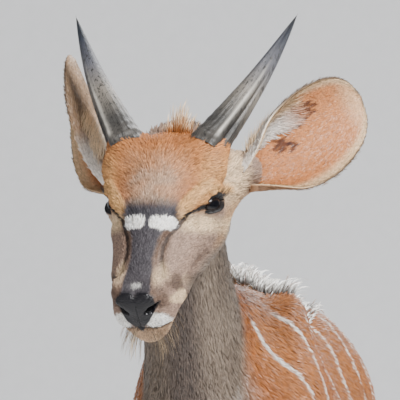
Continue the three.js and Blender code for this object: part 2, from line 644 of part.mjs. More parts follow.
function ear(name, room) {
  const [LONG, WIDE] = [10, 8];
  const frame = earFrame(EARS[name]);
  const STEP = 1e-3;
  const points = [];
  for (const face of [1, -1])
    for (let i = 0; i <= LONG; i++)
      for (let j = 0; j <= WIDE; j++) {
        const [u, v] = [Math.pow(i / LONG, 0.85), (2 * j) / WIDE - 1];
        const du = earPoint(frame, Math.min(u + STEP, 1), v).sub(earPoint(frame, Math.max(u - STEP, 0), v));
        const dv = earPoint(frame, u, v + STEP).sub(earPoint(frame, u, v - STEP));
        const normal = dv.clone().cross(du).normalize();
        const thick = 1.6 + 2.2 * (1 - v * v) * (1 - 0.6 * u) + room;
        const place = earPoint(frame, u, v).addScaledVector(normal, (face * thick) / 2);
        if (i === 0) place.addScaledVector(frame.along, -room);
        if (j === 0 || j === WIDE) place.addScaledVector(dv.normalize(), (Math.sign(v) * room) / 2);
        points.push(place);
      }
  const sheet = (LONG + 1) * (WIDE + 1);
  const at = (face, i, j) => (face > 0 ? 0 : sheet) + i * (WIDE + 1) + j;
  const faces = [];
  const quad = (a, b, c, d) => faces.push(a, b, c, a, c, d);
  for (let i = 0; i < LONG; i++)
    for (let j = 0; j < WIDE; j++) {
      const [a, b, c, d] = [at(1, i, j), at(1, i, j + 1), at(1, i + 1, j + 1), at(1, i + 1, j)];
      quad(a, b, c, d);
      faces.push(a + sheet, c + sheet, b + sheet, a + sheet, d + sheet, c + sheet);
    }
  for (let i = 0; i < LONG; i++) {
    quad(at(1, i, 0), at(1, i + 1, 0), at(-1, i + 1, 0), at(-1, i, 0));
    quad(at(1, i + 1, WIDE), at(1, i, WIDE), at(-1, i, WIDE), at(-1, i + 1, WIDE));
  }
  for (let j = 0; j < WIDE; j++) {
    quad(at(1, 0, j + 1), at(1, 0, j), at(-1, 0, j), at(-1, 0, j + 1));
    quad(at(1, LONG, j), at(1, LONG, j + 1), at(-1, LONG, j + 1), at(-1, LONG, j));
  }
  return closedSolid(geometryOf(points, faces));
}

// Hooves: two to a foot, with a pointed toe
const HOOF_SLOPE = 0.32;
function coronetPlane(leg, lift = 0) {
  return { point: ahead(leg.joints.coronet, 0, HOOF_HEIGHT - leg.joints.coronet.z + lift), up: V(0, HOOF_SLOPE, 1).normalize() };
}
function hoof(leg, toe) {
  const [LEVELS, AROUND] = [2, 12];
  const { coronet } = leg.joints;
  const rings = Array.from({ length: LEVELS + 1 }, (_, k) => {
    const s = k / LEVELS;
    const [front, rear] = [-44 + 25 * s, 19 + 3 * s];
    const halfWidth = 11.6 - 0.8 * s;
    return Array.from({ length: AROUND }, (_, i) => {
      const turn = (2 * Math.PI * i) / AROUND;
      const y = (front + rear) / 2 + ((rear - front) / 2) * Math.cos(turn);
      const point = 1 - 0.42 * (1 - s * 0.6) * Math.max(0, -Math.cos(turn)) ** 1.5;
      const x = toe * 12.4 + halfWidth * Math.sin(turn) * point;
      const top = HOOF_HEIGHT - HOOF_SLOPE * y;
      return V(coronet.x + x, coronet.y + y, s * top);
    });
  });
  return closedSolid(ringsGeometry(rings));
}

// Locks of long hair: flat tapers that leave the skin and bend over along the lie of the coat
let seed = 7;
function chance() {
  seed = (seed * 16807) % 2147483647;
  return seed / 2147483647;
}
function skinPoint(from, outward) {
  let [inside, outside] = [0, 260];
  for (let i = 0; i < 22; i++) {
    const middle = (inside + outside) / 2;
    if (flesh(from.clone().addScaledVector(outward, middle)) < 0) inside = middle;
    else outside = middle;
  }
  return from.clone().addScaledVector(outward, inside);
}
function lock(root, outward, lie, size) {
  const STATIONS = 3;
  const STEP = 0.01;
  const across = outward.clone().cross(lie).normalize();
  const spine = (t) => {
    const rise = size.length * (size.stand * Math.sin((t * Math.PI) / 2) + 0.04) - size.sunk * (1 - t);
    const trail = size.length * (1 - size.stand * 0.45) * t ** 1.5;
    const place = root.clone().addScaledVector(outward, rise).addScaledVector(lie, trail);
    return place.addScaledVector(across, size.sway * t * t);
  };
  const rings = [];
  for (let i = 0; i < STATIONS; i++) {
    const t = i / STATIONS;
    const middle = spine(t);
    const along = spine(t + STEP).sub(spine(Math.max(t - STEP, 0))).normalize();
    const broad = across.clone().applyAxisAngle(along, size.turn);
    const slim = broad.clone().cross(along).normalize();
    const wide = size.width * (1 - t ** 1.6) + 0.5;
    const thick = size.thick * (1 - 0.8 * t);
    rings.push([
      middle.clone().addScaledVector(broad, wide),
      middle.clone().addScaledVector(slim, thick),
      middle.clone().addScaledVector(broad, -wide),
      middle.clone().addScaledVector(slim, -thick),
    ]);
  }
  rings.push([spine(1)]);
  return closedSolid(ringsGeometry(rings));
}

// A lock's root, outward way and lie along the top of the neck, t from 0 at the withers to 1 at the poll
function napeAt(t) {
  const i = clamp(Math.round(4 + t * 34), 1, neckLine.length - 2);
  const along = V(...neckLine[i + 1].slice(1, 4)).sub(V(...neckLine[i - 1].slice(1, 4))).normalize();
  const side = V(0, 0, 1).cross(along).normalize();
  return { from: V(...neckLine[i].slice(1, 4)), outward: along.clone().cross(side), lie: along.clone().negate(), side };
}
const CREST = { from: -276, to: 372, step: 14.5 };
const crestRise = (y) => (y < -60 ? 1 : 1 - 0.3 * Math.min(1, (y + 60) / 300));
const vary = (value, share) => value * (1 + share * (2 * chance() - 1));
function crestLocks() {
  const locks = [];
  let row = 0;
  for (let y = CREST.from; y < CREST.to; y += CREST.step, row++) {
    const lean = [-0.3, 1, -1, 0.3][row % 4];
    const outward = V(lean * 0.24, 0, 1).normalize();
    const root = skinPoint(V(lean * 9, y, 740), outward);
    const lie = V(lean * 0.1, 1, y > 230 ? -0.42 : -0.04).normalize();
    const length = vary(76 * crestRise(y), 0.08);
    const turn = Math.sign(lean) * vary(0.45, 0.4);
    locks.push(lock(root, outward, lie, { length, width: 14, thick: 3.4, stand: 0.27, sunk: 7, sway: lean * 5, turn }));
  }
  return locks;
}
function maneLocks() {
  const COUNT = 28;
  const locks = [];
  for (let n = 0; n < COUNT; n++) {
    const { from, outward, lie, side } = napeAt(n / (COUNT - 1));
    const lean = [-0.3, 1, -1, 0.3][n % 4];
    const out = outward.clone().addScaledVector(side, lean * 0.25).normalize();
    const root = skinPoint(from, out);
    const turn = Math.sign(lean) * vary(0.45, 0.4);
    const size = { length: vary(58, 0.1), width: 12.5, thick: 3.2, stand: 0.26, sunk: 7, sway: lean * 4, turn };
    locks.push(lock(root, out, lie.addScaledVector(side, lean * 0.12).normalize(), size));
  }
  return locks;
}
function tailLocks() {
  const [TIERS, AROUND] = [5, 4];
  const FORWARD_LEAST = -0.3;
  const locks = [];
  for (let tier = 0; tier < TIERS; tier++)
    for (let k = 0; k < AROUND; k++) {
      const z = 742 - tier * 31 - 8 * chance();
      const turn = (2 * Math.PI * (k + 0.5 * (tier % 2) + 0.3 * chance())) / AROUND;
      const outward = V(Math.sin(turn), Math.max(Math.cos(turn), FORWARD_LEAST), 0).normalize();
      const middle = TAIL[1].clone().lerp(TAIL[3], (TAIL[1].z - z) / (TAIL[1].z - TAIL[3].z));
      const [length, sway, turned] = [vary(88, 0.12), 8 * chance() - 4, 0.8 * chance() - 0.4];
      const size = { length, width: 14, thick: 4, stand: 0.2, sunk: 7, sway, turn: turned };
      locks.push(lock(skinPoint(middle, outward), outward, V(0.1 * chance() - 0.05, 0.08, -1).normalize(), size));
    }
  return locks;
}

// Cutting solids. A prism of a side profile, y and z, from one distance to another beside the middle plane
function sidePrism(outline, side, near, far) {
  const shape = new THREE.Shape(outline.map(([y, z]) => new THREE.Vector2(y, z)));
  const prism = new THREE.ExtrudeGeometry(shape, { depth: far - near, bevelEnabled: false });
  const turn = new THREE.Matrix4().makeBasis(V(0, 1, 0), V(0, 0, 1), V(1, 0, 0));
  turn.setPosition(side > 0 ? near : -far, 0, 0);
  return closedSolid(prism, turn);
}
// The side profile of each limb's part: points of its upper edge, from front to back
const LIMB_EDGE = {
  fore: { near: 44, edge: [[-425, 560], [-412, 640], [-360, 700], [-300, 716], [-235, 690], [-188, 630], [-172, 560]] },
  hind: { near: 24, edge: [[118, 560], [122, 640], [165, 715], [235, 760], [310, 768], [372, 742], [400, 690], [413, 640]] },
};
function limbPrism(leg, shrink) {
  const { near, edge } = LIMB_EDGE[leg.fore ? "fore" : "hind"];
  const middle = (edge[0][0] + edge.at(-1)[0]) / 2;
  const rows = edge.map(([y, z]) => [y + Math.sign(middle - y) * shrink, z - shrink]);
  const [front, rear] = [rows[0][0], rows.at(-1)[0]];
  const outline = [[front, -40], ...rows, [rear, -40]];
  return sidePrism(outline, leg.side, near + shrink, 300);
}
const KNEE_CUT = 326;
const HOCK_CUT = 414;
const TAIL_CUT = 413.5;
const NECK_CUT = { point: V(-4, -340, 780), ahead: V(-0.06, -0.86, 0.5) };
const HEAD_CUT = { point: V(-33, -507, 1006), ahead: V(-0.14, -0.86, 0.49) };

const coat = (name, color) => new THREE.MeshStandardMaterial({ name, color, roughness: 0.9 });
const materials = {
  rufous: coat("rufous_coat", "#a5642f"),
  neck: coat("neck_coat", "#6f5f50"),
  head: coat("face_coat", "#8f6a49"),
  ear: coat("ear_coat", "#a98468"),
  legUpper: coat("leg_coat", "#a5642f"),
  legLower: coat("shank_coat", "#b98449"),
  tail: coat("tail_hair", "#7a5a3c"),
  horn: new THREE.MeshStandardMaterial({ name: "horn", color: "#77726a", roughness: 0.55 }),
  hoof: new THREE.MeshStandardMaterial({ name: "hoof", color: "#2b2622", roughness: 0.45 }),
  eye: new THREE.MeshStandardMaterial({ name: "eye", color: "#140c08", roughness: 0.08 }),
};

function regionOf(low, high, cell, frame) {
  return solidOf(surfaceOf(flesh, low, high, cell, frame));
}
function unite(solid, pieces) {
  return pieces.reduce((sum, piece) => sum.add(piece), solid);
}
function torsoSolid() {
  let solid = regionOf([-190, -470, 486], [190, 486, 930], [37, 50, 37]);
  solid = unite(solid, crestLocks());
  for (const leg of Object.values(legs)) solid = solid.subtract(limbPrism(leg, 0));
  return solid.subtract(halfSpace(V(0, TAIL_CUT, 0), V(0, 1, 0))).subtract(halfSpace(NECK_CUT.point, NECK_CUT.ahead));
}
function tailSolid() {
  const solid = unite(regionOf([-40, 380, 572], [40, 480, 850], [14, 14, 28]), tailLocks());
  return solid.intersect(halfSpace(V(0, TAIL_CUT + GAP, 0), V(0, 1, 0)));
}
function neckSolid() {
  const low = [-140, -590, 640];
  let solid = regionOf(low, [120, -250, 1100], [26, 32, 32]);
  solid = unite(solid, maneLocks());
  const rear = NECK_CUT.point.clone().addScaledVector(NECK_CUT.ahead, GAP);
  return solid.intersect(halfSpace(rear, NECK_CUT.ahead)).subtract(halfSpace(HEAD_CUT.point, HEAD_CUT.ahead));
}
function headSolid() {
  let solid = regionOf([-92, -170, -92], [92, 168, 84], [12, 14, 12], headFrame);
  const rear = HEAD_CUT.point.clone().addScaledVector(HEAD_CUT.ahead, GAP);
  solid = solid.intersect(halfSpace(rear, HEAD_CUT.ahead));
  for (const side of [1, -1]) {
    const lids = eyeball(side, EYE_RADIUS + SKIN_OVER_EYE);
    solid = solid.add(lids).subtract(eyeball(side, EYE_RADIUS + GAP)).subtract(lidOpening(side));
    solid = solid.subtract(nostril(side)).subtract(horn(side, GAP));
  }
  solid = solid.subtract(mouthGroove());
  for (const name of Object.keys(EARS)) solid = solid.subtract(ear(name, 6 * GAP));
  return solid;
}
function limbSolids(name) {
  const leg = legs[name];
  const part = limbPrism(leg, GAP);
  const { joints, side, fore } = leg;
  const cut = fore ? KNEE_CUT : HOCK_CUT;
  const edge = LIMB_EDGE[fore ? "fore" : "hind"].edge;
  const [front, rear] = [edge[0][0] - 24, edge.at(-1)[0] + 24];
  const span = (low, high) => (side > 0 ? [low, high] : [-high, -low]);
  const [upperLow, upperHigh] = span(10, 160);
  const upper = regionOf([upperLow, front, cut - 40], [upperHigh, rear, 800], [20, 26, 32]).intersect(part);
  const [lowerLow, lowerHigh] = span(28, 118);
  const [near, far] = [joints.coronet.y - 52, (fore ? joints.knee.y : joints.heel.y) + 52];
  const lower = regionOf([lowerLow, near, 14], [lowerHigh, far, cut + 40], [10.5, 10.5, 26]);
  const ankle = coronetPlane(leg, GAP);
  return {
    [`${name}_upper_leg`]: upper.intersect(halfSpace(V(0, 0, cut + GAP), V(0, 0, 1))),
    [`${name}_lower_leg`]: lower.subtract(halfSpace(V(0, 0, cut), V(0, 0, 1))).intersect(halfSpace(ankle.point, ankle.up)),
  };
}

const wholeHead = headSolid();
const nodes = [
  ["torso", torsoSolid(), materials.rufous],
  ["neck", neckSolid(), materials.neck],
  ["head", wholeHead, materials.head],
  ["tail", tailSolid(), materials.tail],
];
for (const name of Object.keys(EARS)) nodes.push([name, ear(name, 0).subtract(wholeHead), materials.ear]);
for (const [name, side] of [["left", 1], ["right", -1]]) {
  nodes.push([`${name}_eye`, eyeball(side, EYE_RADIUS), materials.eye]);
  nodes.push([`${name}_horn`, horn(side, 0), materials.horn]);
}
for (const [name, leg] of Object.entries(legs)) {
  for (const [part, solid] of Object.entries(limbSolids(name)))
    nodes.push([part, solid, part.endsWith("upper_leg") ? materials.legUpper : materials.legLower]);
  for (const [which, toe] of [["outer", leg.side], ["inner", -leg.side]])
    nodes.push([`${name}_${which}_hoof`, hoof(leg, toe), materials.hoof]);
}

const nyala = new THREE.Group();
for (const [name, solid, material] of nodes) nyala.add(meshOf(name, solid, material));
const box = new THREE.Box3().setFromObject(nyala);
const middle = box.getCenter(V(0, 0, 0));
nyala.position.set(-middle.x, -middle.y, -box.min.z);

export default nyala;
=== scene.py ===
import math

import bmesh
import bpy
import numpy as np
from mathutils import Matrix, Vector


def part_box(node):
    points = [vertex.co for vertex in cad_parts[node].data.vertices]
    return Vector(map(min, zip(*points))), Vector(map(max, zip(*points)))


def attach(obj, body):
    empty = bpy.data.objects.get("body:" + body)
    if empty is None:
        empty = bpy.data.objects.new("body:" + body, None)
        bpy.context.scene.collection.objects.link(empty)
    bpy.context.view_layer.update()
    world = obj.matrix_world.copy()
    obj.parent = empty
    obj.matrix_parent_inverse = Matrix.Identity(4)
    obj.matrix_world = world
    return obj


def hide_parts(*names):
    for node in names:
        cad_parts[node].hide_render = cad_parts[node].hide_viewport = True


bl_info = {
    "name": "Young nyala ram",
    "version": (1, 0, 0),
    "blender": (4, 5, 0),
    "location": "View3D > Sidebar > Nyala",
    "description": "A life-size young nyala ram: skin, coat, long hair, eyes, horns and hooves",
    "category": "Object",
}

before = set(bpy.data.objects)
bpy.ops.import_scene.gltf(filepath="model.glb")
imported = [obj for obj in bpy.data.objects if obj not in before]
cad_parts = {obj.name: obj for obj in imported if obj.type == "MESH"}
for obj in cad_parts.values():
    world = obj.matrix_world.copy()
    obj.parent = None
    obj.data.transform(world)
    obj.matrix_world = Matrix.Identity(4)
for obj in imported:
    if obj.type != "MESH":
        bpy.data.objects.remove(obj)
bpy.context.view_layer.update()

# The figure's own frame is in millimetres: x to its left, y to its back, z up, hooves on z = 0.
# The midpoint between the eyes, and how the head is turned and tipped there
HEAD_PLACE = np.array([-48.0, -600.0, 965.0])
HEAD_YAW = math.radians(-10)
HEAD_PITCH = math.radians(40)
# Each eye's size, its distance from the middle, how far it looks aside and how its opening slants
EYE_RADIUS = 16.5
EYE_SIDE = 42.0
EYE_TURN = math.radians(51)
EYE_SLANT = math.radians(18)
LID_THICKNESS = 2.6
HORN_LENGTH = 170.0
EAR_LENGTH = 168.0
HOOF_HEIGHT = 46.0
UP = np.array([0.0, 0.0, 1.0])
SIDES = (1, -1)


def vec(*numbers):
    return np.array(numbers, float)


def unit(v):
    v = np.asarray(v, float)
    return v / np.maximum(np.linalg.norm(v, axis=-1, keepdims=True), 1e-9)


def smooth(low, high, value):
    """0 at low, 1 at high, with soft ends. low may be above high."""
    t = np.clip((value - low) / (high - low), 0, 1)
    return t * t * (3 - 2 * t)


def hump(value, middle, width):
    """1 at middle, falling away on both sides over width."""
    return np.exp(-(((value - middle) / width) ** 2))


def mix(a, b, share):
    share = np.asarray(share, float)
    if np.ndim(a) > share.ndim or np.ndim(b) > share.ndim:
        share = share[..., None]
    return a * (1 - share) + b * share


# The head's frame: x to its left, y back along the skull from the nose, z out of the forehead
LEVEL = vec(math.sin(HEAD_YAW), -math.cos(HEAD_YAW), 0)
BACKWARD = -LEVEL * math.cos(HEAD_PITCH) + UP * math.sin(HEAD_PITCH)
DORSAL = LEVEL * math.sin(HEAD_PITCH) + UP * math.cos(HEAD_PITCH)
HEAD_AXES = np.array([np.cross(BACKWARD, DORSAL), BACKWARD, DORSAL])


def to_head(points):
    return (points - HEAD_PLACE) @ HEAD_AXES.T


def from_head(points):
    return np.asarray(points, float) @ HEAD_AXES + HEAD_PLACE


def mirrored(points):
    return np.column_stack([np.abs(points[:, 0]), points[:, 1:]])


# Legs as they stand square, in the figure's frame; the stride moves the foot along y
LEG_TOP = 700.0
STRIDE = {"left_fore": -22, "right_fore": 26, "left_hind": 30, "right_hind": -30}
FORE_SQUARE = {
    "blade": (55, -262, 836),
    "shoulder": (76, -352, 668),
    "upper_arm": (70, -252, 735),
    "elbow": (82, -252, 562),
    "knee": (72, -262, 296),
    "fetlock": (70, -262, 112),
    "coronet": (70, -279, 56),
}
HIND_SQUARE = {
    "croup": (44, 222, 806),
    "hip": (61, 272, 742),
    "seat": (50, 372, 735),
    "hamstring": (78, 305, 570),
    "stifle": (90, 176, 606),
    "heel": (70, 356, 398),
    "hock": (70, 336, 362),
    "fetlock": (70, 306, 113),
    "coronet": (70, 288, 57),
}


def joints_of(leg):
    side = 1 if leg.startswith("left") else -1
    square = FORE_SQUARE if leg.endswith("fore") else HIND_SQUARE
    return {
        name: vec(side * x, y + STRIDE[leg] * max(0, 1 - z / LEG_TOP), z)
        for name, (x, y, z) in square.items()
    }


LEGS = {leg: joints_of(leg) for leg in STRIDE}

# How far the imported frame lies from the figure's own: read from one hoof, whose box is known in both
HOOF_OUT, HOOF_MIDDLE = 12.4, -11.0


def frame_shift():
    low, high = (np.array(corner) * 1000 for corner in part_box("left_fore_outer_hoof"))
    middle = (low + high) / 2
    coronet = LEGS["left_fore"]["coronet"]
    return vec(middle[0] - coronet[0] - HOOF_OUT, middle[1] - coronet[1] - HOOF_MIDDLE, 0)


SHIFT = frame_shift()


def to_metres(points):
    return (np.asarray(points, float) + SHIFT) * 0.001


# Fields: how far points lie from the flesh, below zero inside
def rows_at(rows, t):
    """A smooth curve through rows of numbers, read at t from their first column."""
    rows = np.asarray(rows, float)
    last = len(rows) - 1
    at = np.clip(t, rows[0, 0], rows[last, 0])
    i = np.clip(np.searchsorted(rows[:, 0], at) - 1, 0, last - 1)
    before, start = rows[np.maximum(i - 1, 0)], rows[i]
    end, after = rows[i + 1], rows[np.minimum(i + 2, last)]
    span = (end[..., :1] - start[..., :1])
    s = (np.asarray(at)[..., None] - start[..., :1]) / span
    slope_start = (end - before) / (end[..., :1] - before[..., :1])
    slope_end = (after - start) / (after[..., :1] - start[..., :1])
    return (
        (1 + 2 * s) * (1 - s) ** 2 * start
        + s * (1 - s) ** 2 * span * slope_start
        + s * s * (3 - 2 * s) * end
        + s * s * (s - 1) * span * slope_end
    )


def smooth_join(a, b, reach):
    h = np.maximum(reach - np.abs(a - b), 0) / reach
    return np.minimum(a, b) - h * h * reach * 0.25


def muscle(a, b, radius_a, radius_b, flat=1.0):
    """A round taper from a to b. flat is its thickness across the body as a share of its radius."""
    a, b = np.asarray(a, float), np.asarray(b, float)
    wide = vec(1 / flat, 1, 1)
    along = (b - a) * wide
    reach = max(radius_a, radius_b)

    def distance(points):
        away = (points - a) * wide
        t = np.clip(away @ along / (along @ along), 0, 1)
        left = np.linalg.norm(away - t[:, None] * along, axis=1)
        return (left - radius_a - (radius_b - radius_a) * t) * min(1, flat * 1.2)

    return np.minimum(a, b) - reach, np.maximum(a, b) + reach, distance


def egg(centre, sizes):
    centre, sizes = np.asarray(centre, float), np.asarray(sizes, float)

    def distance(points):
        return (np.linalg.norm((points - centre) / sizes, axis=1) - 1) * sizes.min()

    return centre - sizes, centre + sizes, distance


# How far beyond its own box a form is still worked out
CULL = 42.0


def add_form(total, points, form, reach):
    low, high, distance = form
    near = np.all((points > low - reach - CULL) & (points < high + reach + CULL), axis=1)
    if near.any():
        total[near] = smooth_join(total[near], distance(points[near]), reach)


def oval_distance(side, up, half_width, half_height, taper, roundness):
    width = half_width * (1 + taper * np.clip(up / half_height, -1, 1))
    share = (np.abs(side / width) ** roundness + np.abs(up / half_height) ** roundness) ** (1 / roundness)
    share = np.maximum(share, 0.02)
    away = np.hypot(side, up)
    return away - away / share


def with_end(distance, beyond):
    return np.where(beyond <= 0, distance, np.hypot(np.maximum(distance, 0), beyond))


# Trunk: y, top, bottom, half width, taper of the section
TRUNK = [
    (-408, 724, 655, 30, 0),
    (-385, 776, 612, 52, 0),
    (-340, 838, 574, 70, -0.25),
    (-270, 881, 548, 82, -0.42),
    (-195, 879, 536, 92, -0.42),
    (-110, 864, 527, 103, -0.36),
    (-10, 856, 520, 112, -0.3),
    (90, 857, 530, 111, -0.27),
    (170, 862, 563, 101, -0.24),
    (250, 862, 610, 88, -0.2),
    (325, 844, 642, 72, -0.12),
    (385, 808, 668, 54, 0),
    (416, 775, 700, 24, 0),
]
# Neck: place along it, x, y, z, half depth, half width
NECK = [
    (0, -8, -258, 712, 146, 80),
    (1, -29, -338, 786, 108, 58),
    (2, -38, -402, 864, 80, 49),
    (3, -41, -464, 942, 62, 44),
    (4, -40, -526, 1012, 53, 40),
]
NECK_LINE = rows_at(NECK, np.linspace(0, 4, 41))
NECK_ALONG = unit(np.gradient(NECK_LINE[:, 1:4], axis=0))
# Skull and muzzle in the head's frame: y, top, bottom, half width, taper, roundness
SKULL = [
    (-146, 0, -40, 20, 0, 2),
    (-134, 10, -50, 28, 0, 2.3),
    (-115, 17, -56, 30, 0.02, 2.3),
    (-90, 25, -60, 30, 0.05, 2.3),
    (-60, 34, -64, 34, 0.12, 2.3),
    (-30, 45, -68, 41, 0.2, 2.3),
    (0, 54, -72, 47, 0.25, 2.3),
    (30, 56, -76, 51, 0.25, 2.3),
    (62, 42, -78, 50, 0.16, 2.2),
    (92, 22, -68, 42, 0, 2.1),
    (112, 4, -44, 24, 0, 2),
]
# Forms on each side of the head, with how far each blends into the rest
FACE_FORMS = [
    (16, muscle((37, -26, 21), (47, 20, 27), 9, 13)),
    (18, muscle((47, 20, 27), (45, 55, 34), 12, 14)),
    (16, muscle((35, 26, 38), (42, 47, 37), 17, 17)),
    (18, muscle((36, -26, -22), (47, 50, -18), 12, 13)),
    (26, egg((34, 38, -44), (18, 42, 32))),
    (20, muscle((8, -118, -52), (27, 45, -66), 12, 15)),
    (18, muscle((32, -34, -10), (24, -100, -12), 14, 12)),
    (10, muscle((12, -137, -29), (26, -96, -36), 13, 10)),
    (8, muscle((14, -139, -3), (21, -126, 1), 11, 9)),
    (22, muscle((46, 70, -20), (62, 74, -18), 25, 21)),
    (7, egg((EYE_SIDE, 0, 0), (EYE_RADIUS + LID_THICKNESS,) * 3)),
]
NOSE_TIP = muscle((0, -142, -8), (0, -137, -26), 13, 13)
CHIN = muscle((0, -122, -57), (0, -106, -58), 14, 13)
CHEST = egg((0, -362, 672), (62, 62, 92))
WITHERS = muscle((0, -300, 845), (0, -180, 849), 36, 34, 0.7)
TAIL = np.array([(0, 394, 808), (0, 433, 764), (0, 440, 690), (0, 436, 606)], float)
DOCK_RADII = (20, 14, 11, 6)


def trunk(points):
    _, top, bottom, half, taper = rows_at(TRUNK, points[:, 1]).T
    up = points[:, 2] - (top + bottom) / 2
    distance = oval_distance(points[:, 0], up, half, (top - bottom) / 2, taper, 2.05)
    return with_end(distance, np.maximum(TRUNK[0][0] - points[:, 1], points[:, 1] - TRUNK[-1][0]))


def along_neck(points):
    """The nearest place on the neck's line for each point, as an index."""
    away = ((points[:, None] - NECK_LINE[None, :, 1:4]) ** 2).sum(axis=2)
    return away.argmin(axis=1)


def neck(points):
    nearest = along_neck(points)
    along = NECK_ALONG[np.clip(nearest, 1, len(NECK_LINE) - 2)]
    row = NECK_LINE[nearest]
    away = points - row[:, 1:4]
    side = unit(np.cross(UP, along))
    up = np.cross(along, side)
    beyond = np.abs((away * along).sum(axis=1)) - 8
    distance = oval_distance((away * side).sum(axis=1), (away * up).sum(axis=1), row[:, 5], row[:, 4], 0, 2)
    return with_end(distance, beyond)


def head(points):
    q = to_head(points)
    _, top, bottom, half, taper, roundness = rows_at(SKULL, q[:, 1]).T
    total = oval_distance(q[:, 0], q[:, 2] - (top + bottom) / 2, half, (top - bottom) / 2, taper, roundness)
    total = with_end(total, np.maximum(SKULL[0][0] - q[:, 1], q[:, 1] - SKULL[-1][0]))
    one_side = mirrored(q)
    for reach, form in FACE_FORMS:
        add_form(total, one_side, form, reach)
    add_form(total, q, NOSE_TIP, 8)
    add_form(total, q, CHIN, 10)
    return total


def foot_forms(fetlock, coronet):
    forms = [(8, muscle(fetlock + vec(0, 0, 2), fetlock + vec(0, 4, -8), 17.5, 16.5))]
    for toe in SIDES:
        root = fetlock + vec(toe * 6, -4, -14)
        forms.append((9, muscle(root, coronet + vec(toe * 11.5, 2, -14), 13, 13.5, 0.82)))
        forms.append((4, egg(fetlock + vec(toe * 12, 22, -12), (6.5, 8, 12))))
    return forms


def fore_forms(j):
    elbow, knee = j["elbow"], j["knee"]
    return [
        (45, muscle(j["blade"], j["shoulder"], 46, 56, 0.5)),
        (40, muscle(j["shoulder"], elbow, 52, 44, 0.7)),
        (45, muscle(j["upper_arm"], elbow + vec(0, 14, 22), 66, 44, 0.5)),
        (26, muscle(elbow + vec(0, 0, -4), elbow + vec(0, -6, -95), 37, 31, 0.72)),
        (22, muscle(elbow + vec(0, -6, -90), knee + vec(0, 0, 22), 30, 19, 0.85)),
        (14, muscle(knee + vec(0, -4, 12), knee + vec(0, -3, -14), 20, 18.5, 0.95)),
        (10, muscle(knee + vec(0, 12, 8), knee + vec(0, 10, -8), 11, 9)),
        (14, muscle(knee, j["fetlock"], 14.5, 14, 0.85)),
        (12, muscle(knee + vec(0, 8, -30), j["fetlock"] + vec(0, 7, 20), 9, 9.5, 0.85)),
        *foot_forms(j["fetlock"], j["coronet"]),
    ]


def hind_forms(j):
    hock, heel = j["hock"], j["heel"]
    return [
        (50, muscle(j["croup"], j["hip"], 54, 70, 0.62)),
        (50, muscle(j["hip"], j["stifle"] + vec(0, 8, 14), 88, 52, 0.55)),
        (45, muscle(j["seat"], j["hamstring"], 62, 46, 0.55)),
        (34, muscle(j["stifle"] + vec(0, 8, -6), hock + vec(0, -24, 120), 47, 34, 0.62)),
        (26, muscle(hock + vec(0, -30, 130), hock + vec(0, -2, 14), 31, 19, 0.72)),
        (24, muscle(j["hamstring"] + vec(0, 20, -20), heel + vec(0, -2, 6), 22, 9.5, 0.75)),
        (10, muscle(heel + vec(0, -3, 4), hock + vec(0, 12, -10), 12.5, 11, 0.9)),
        (14, muscle(hock + vec(0, -2, 8), hock + vec(0, -3, -22), 20.5, 18, 0.9)),
        (14, muscle(hock + vec(0, -1, -16), j["fetlock"], 16, 14.5, 0.82)),
        (12, muscle(hock + vec(0, 10, -40), j["fetlock"] + vec(0, 7, 20), 9.5, 9.5, 0.85)),
        *foot_forms(j["fetlock"], j["coronet"]),
    ]


# The box round the neck and the ball round the head in which each is worked out, and how far each blends
NECK_BOX_LOW, NECK_BOX_HIGH = vec(-180, -640, 480), vec(140, -90, 1130)
HEAD_BALL_MIDDLE, HEAD_BALL_RADIUS = from_head(vec(0, -20, -10)), 260
NECK_BLEND, HEAD_BLEND = 46, 24
TRUNK_FORMS = [(60, CHEST), (40, WITHERS)]
for part in range(3):
    dock = muscle(TAIL[part], TAIL[part + 1], DOCK_RADII[part], DOCK_RADII[part + 1])
    TRUNK_FORMS.append((16, dock))
LEG_FORMS = []
for leg_name, leg_joints in LEGS.items():
    LEG_FORMS += (fore_forms if leg_name.endswith("fore") else hind_forms)(leg_joints)


def flesh(points):
    total = trunk(points)
    for reach, form in TRUNK_FORMS:
        add_form(total, points, form, reach)
    by_neck = np.all((points > NECK_BOX_LOW) & (points < NECK_BOX_HIGH), axis=1)
    total[by_neck] = smooth_join(total[by_neck], neck(points[by_neck]), NECK_BLEND)
    for reach, form in LEG_FORMS:
        add_form(total, points, form, reach)
    by_head = np.linalg.norm(points - HEAD_BALL_MIDDLE, axis=1) < HEAD_BALL_RADIUS
    total[by_head] = smooth_join(total[by_head], head(points[by_head]), HEAD_BLEND)
    return total


def slope_of(field, points):
    step = 0.6
    slope = np.empty_like(points)
    for axis in range(3):
        aside = np.zeros(3)
        aside[axis] = step
        slope[:, axis] = (field(points + aside) - field(points - aside)) / (2 * step)
    return slope


def settle(field, points, rounds=2, most=6.0):
    """Points moved onto a field's zero surface."""
    start = points.copy()
    for _ in range(rounds):
        slope = slope_of(field, points)
        steep = np.maximum((slope**2).sum(axis=1), 0.1)
        points = points - slope * (field(points) / steep)[:, None]
    far = np.linalg.norm(points - start, axis=1) > most
    points[far] = start[far]
    return points


CORNERS = np.array([[c & 1, (c >> 1) & 1, c >> 2] for c in range(8)])


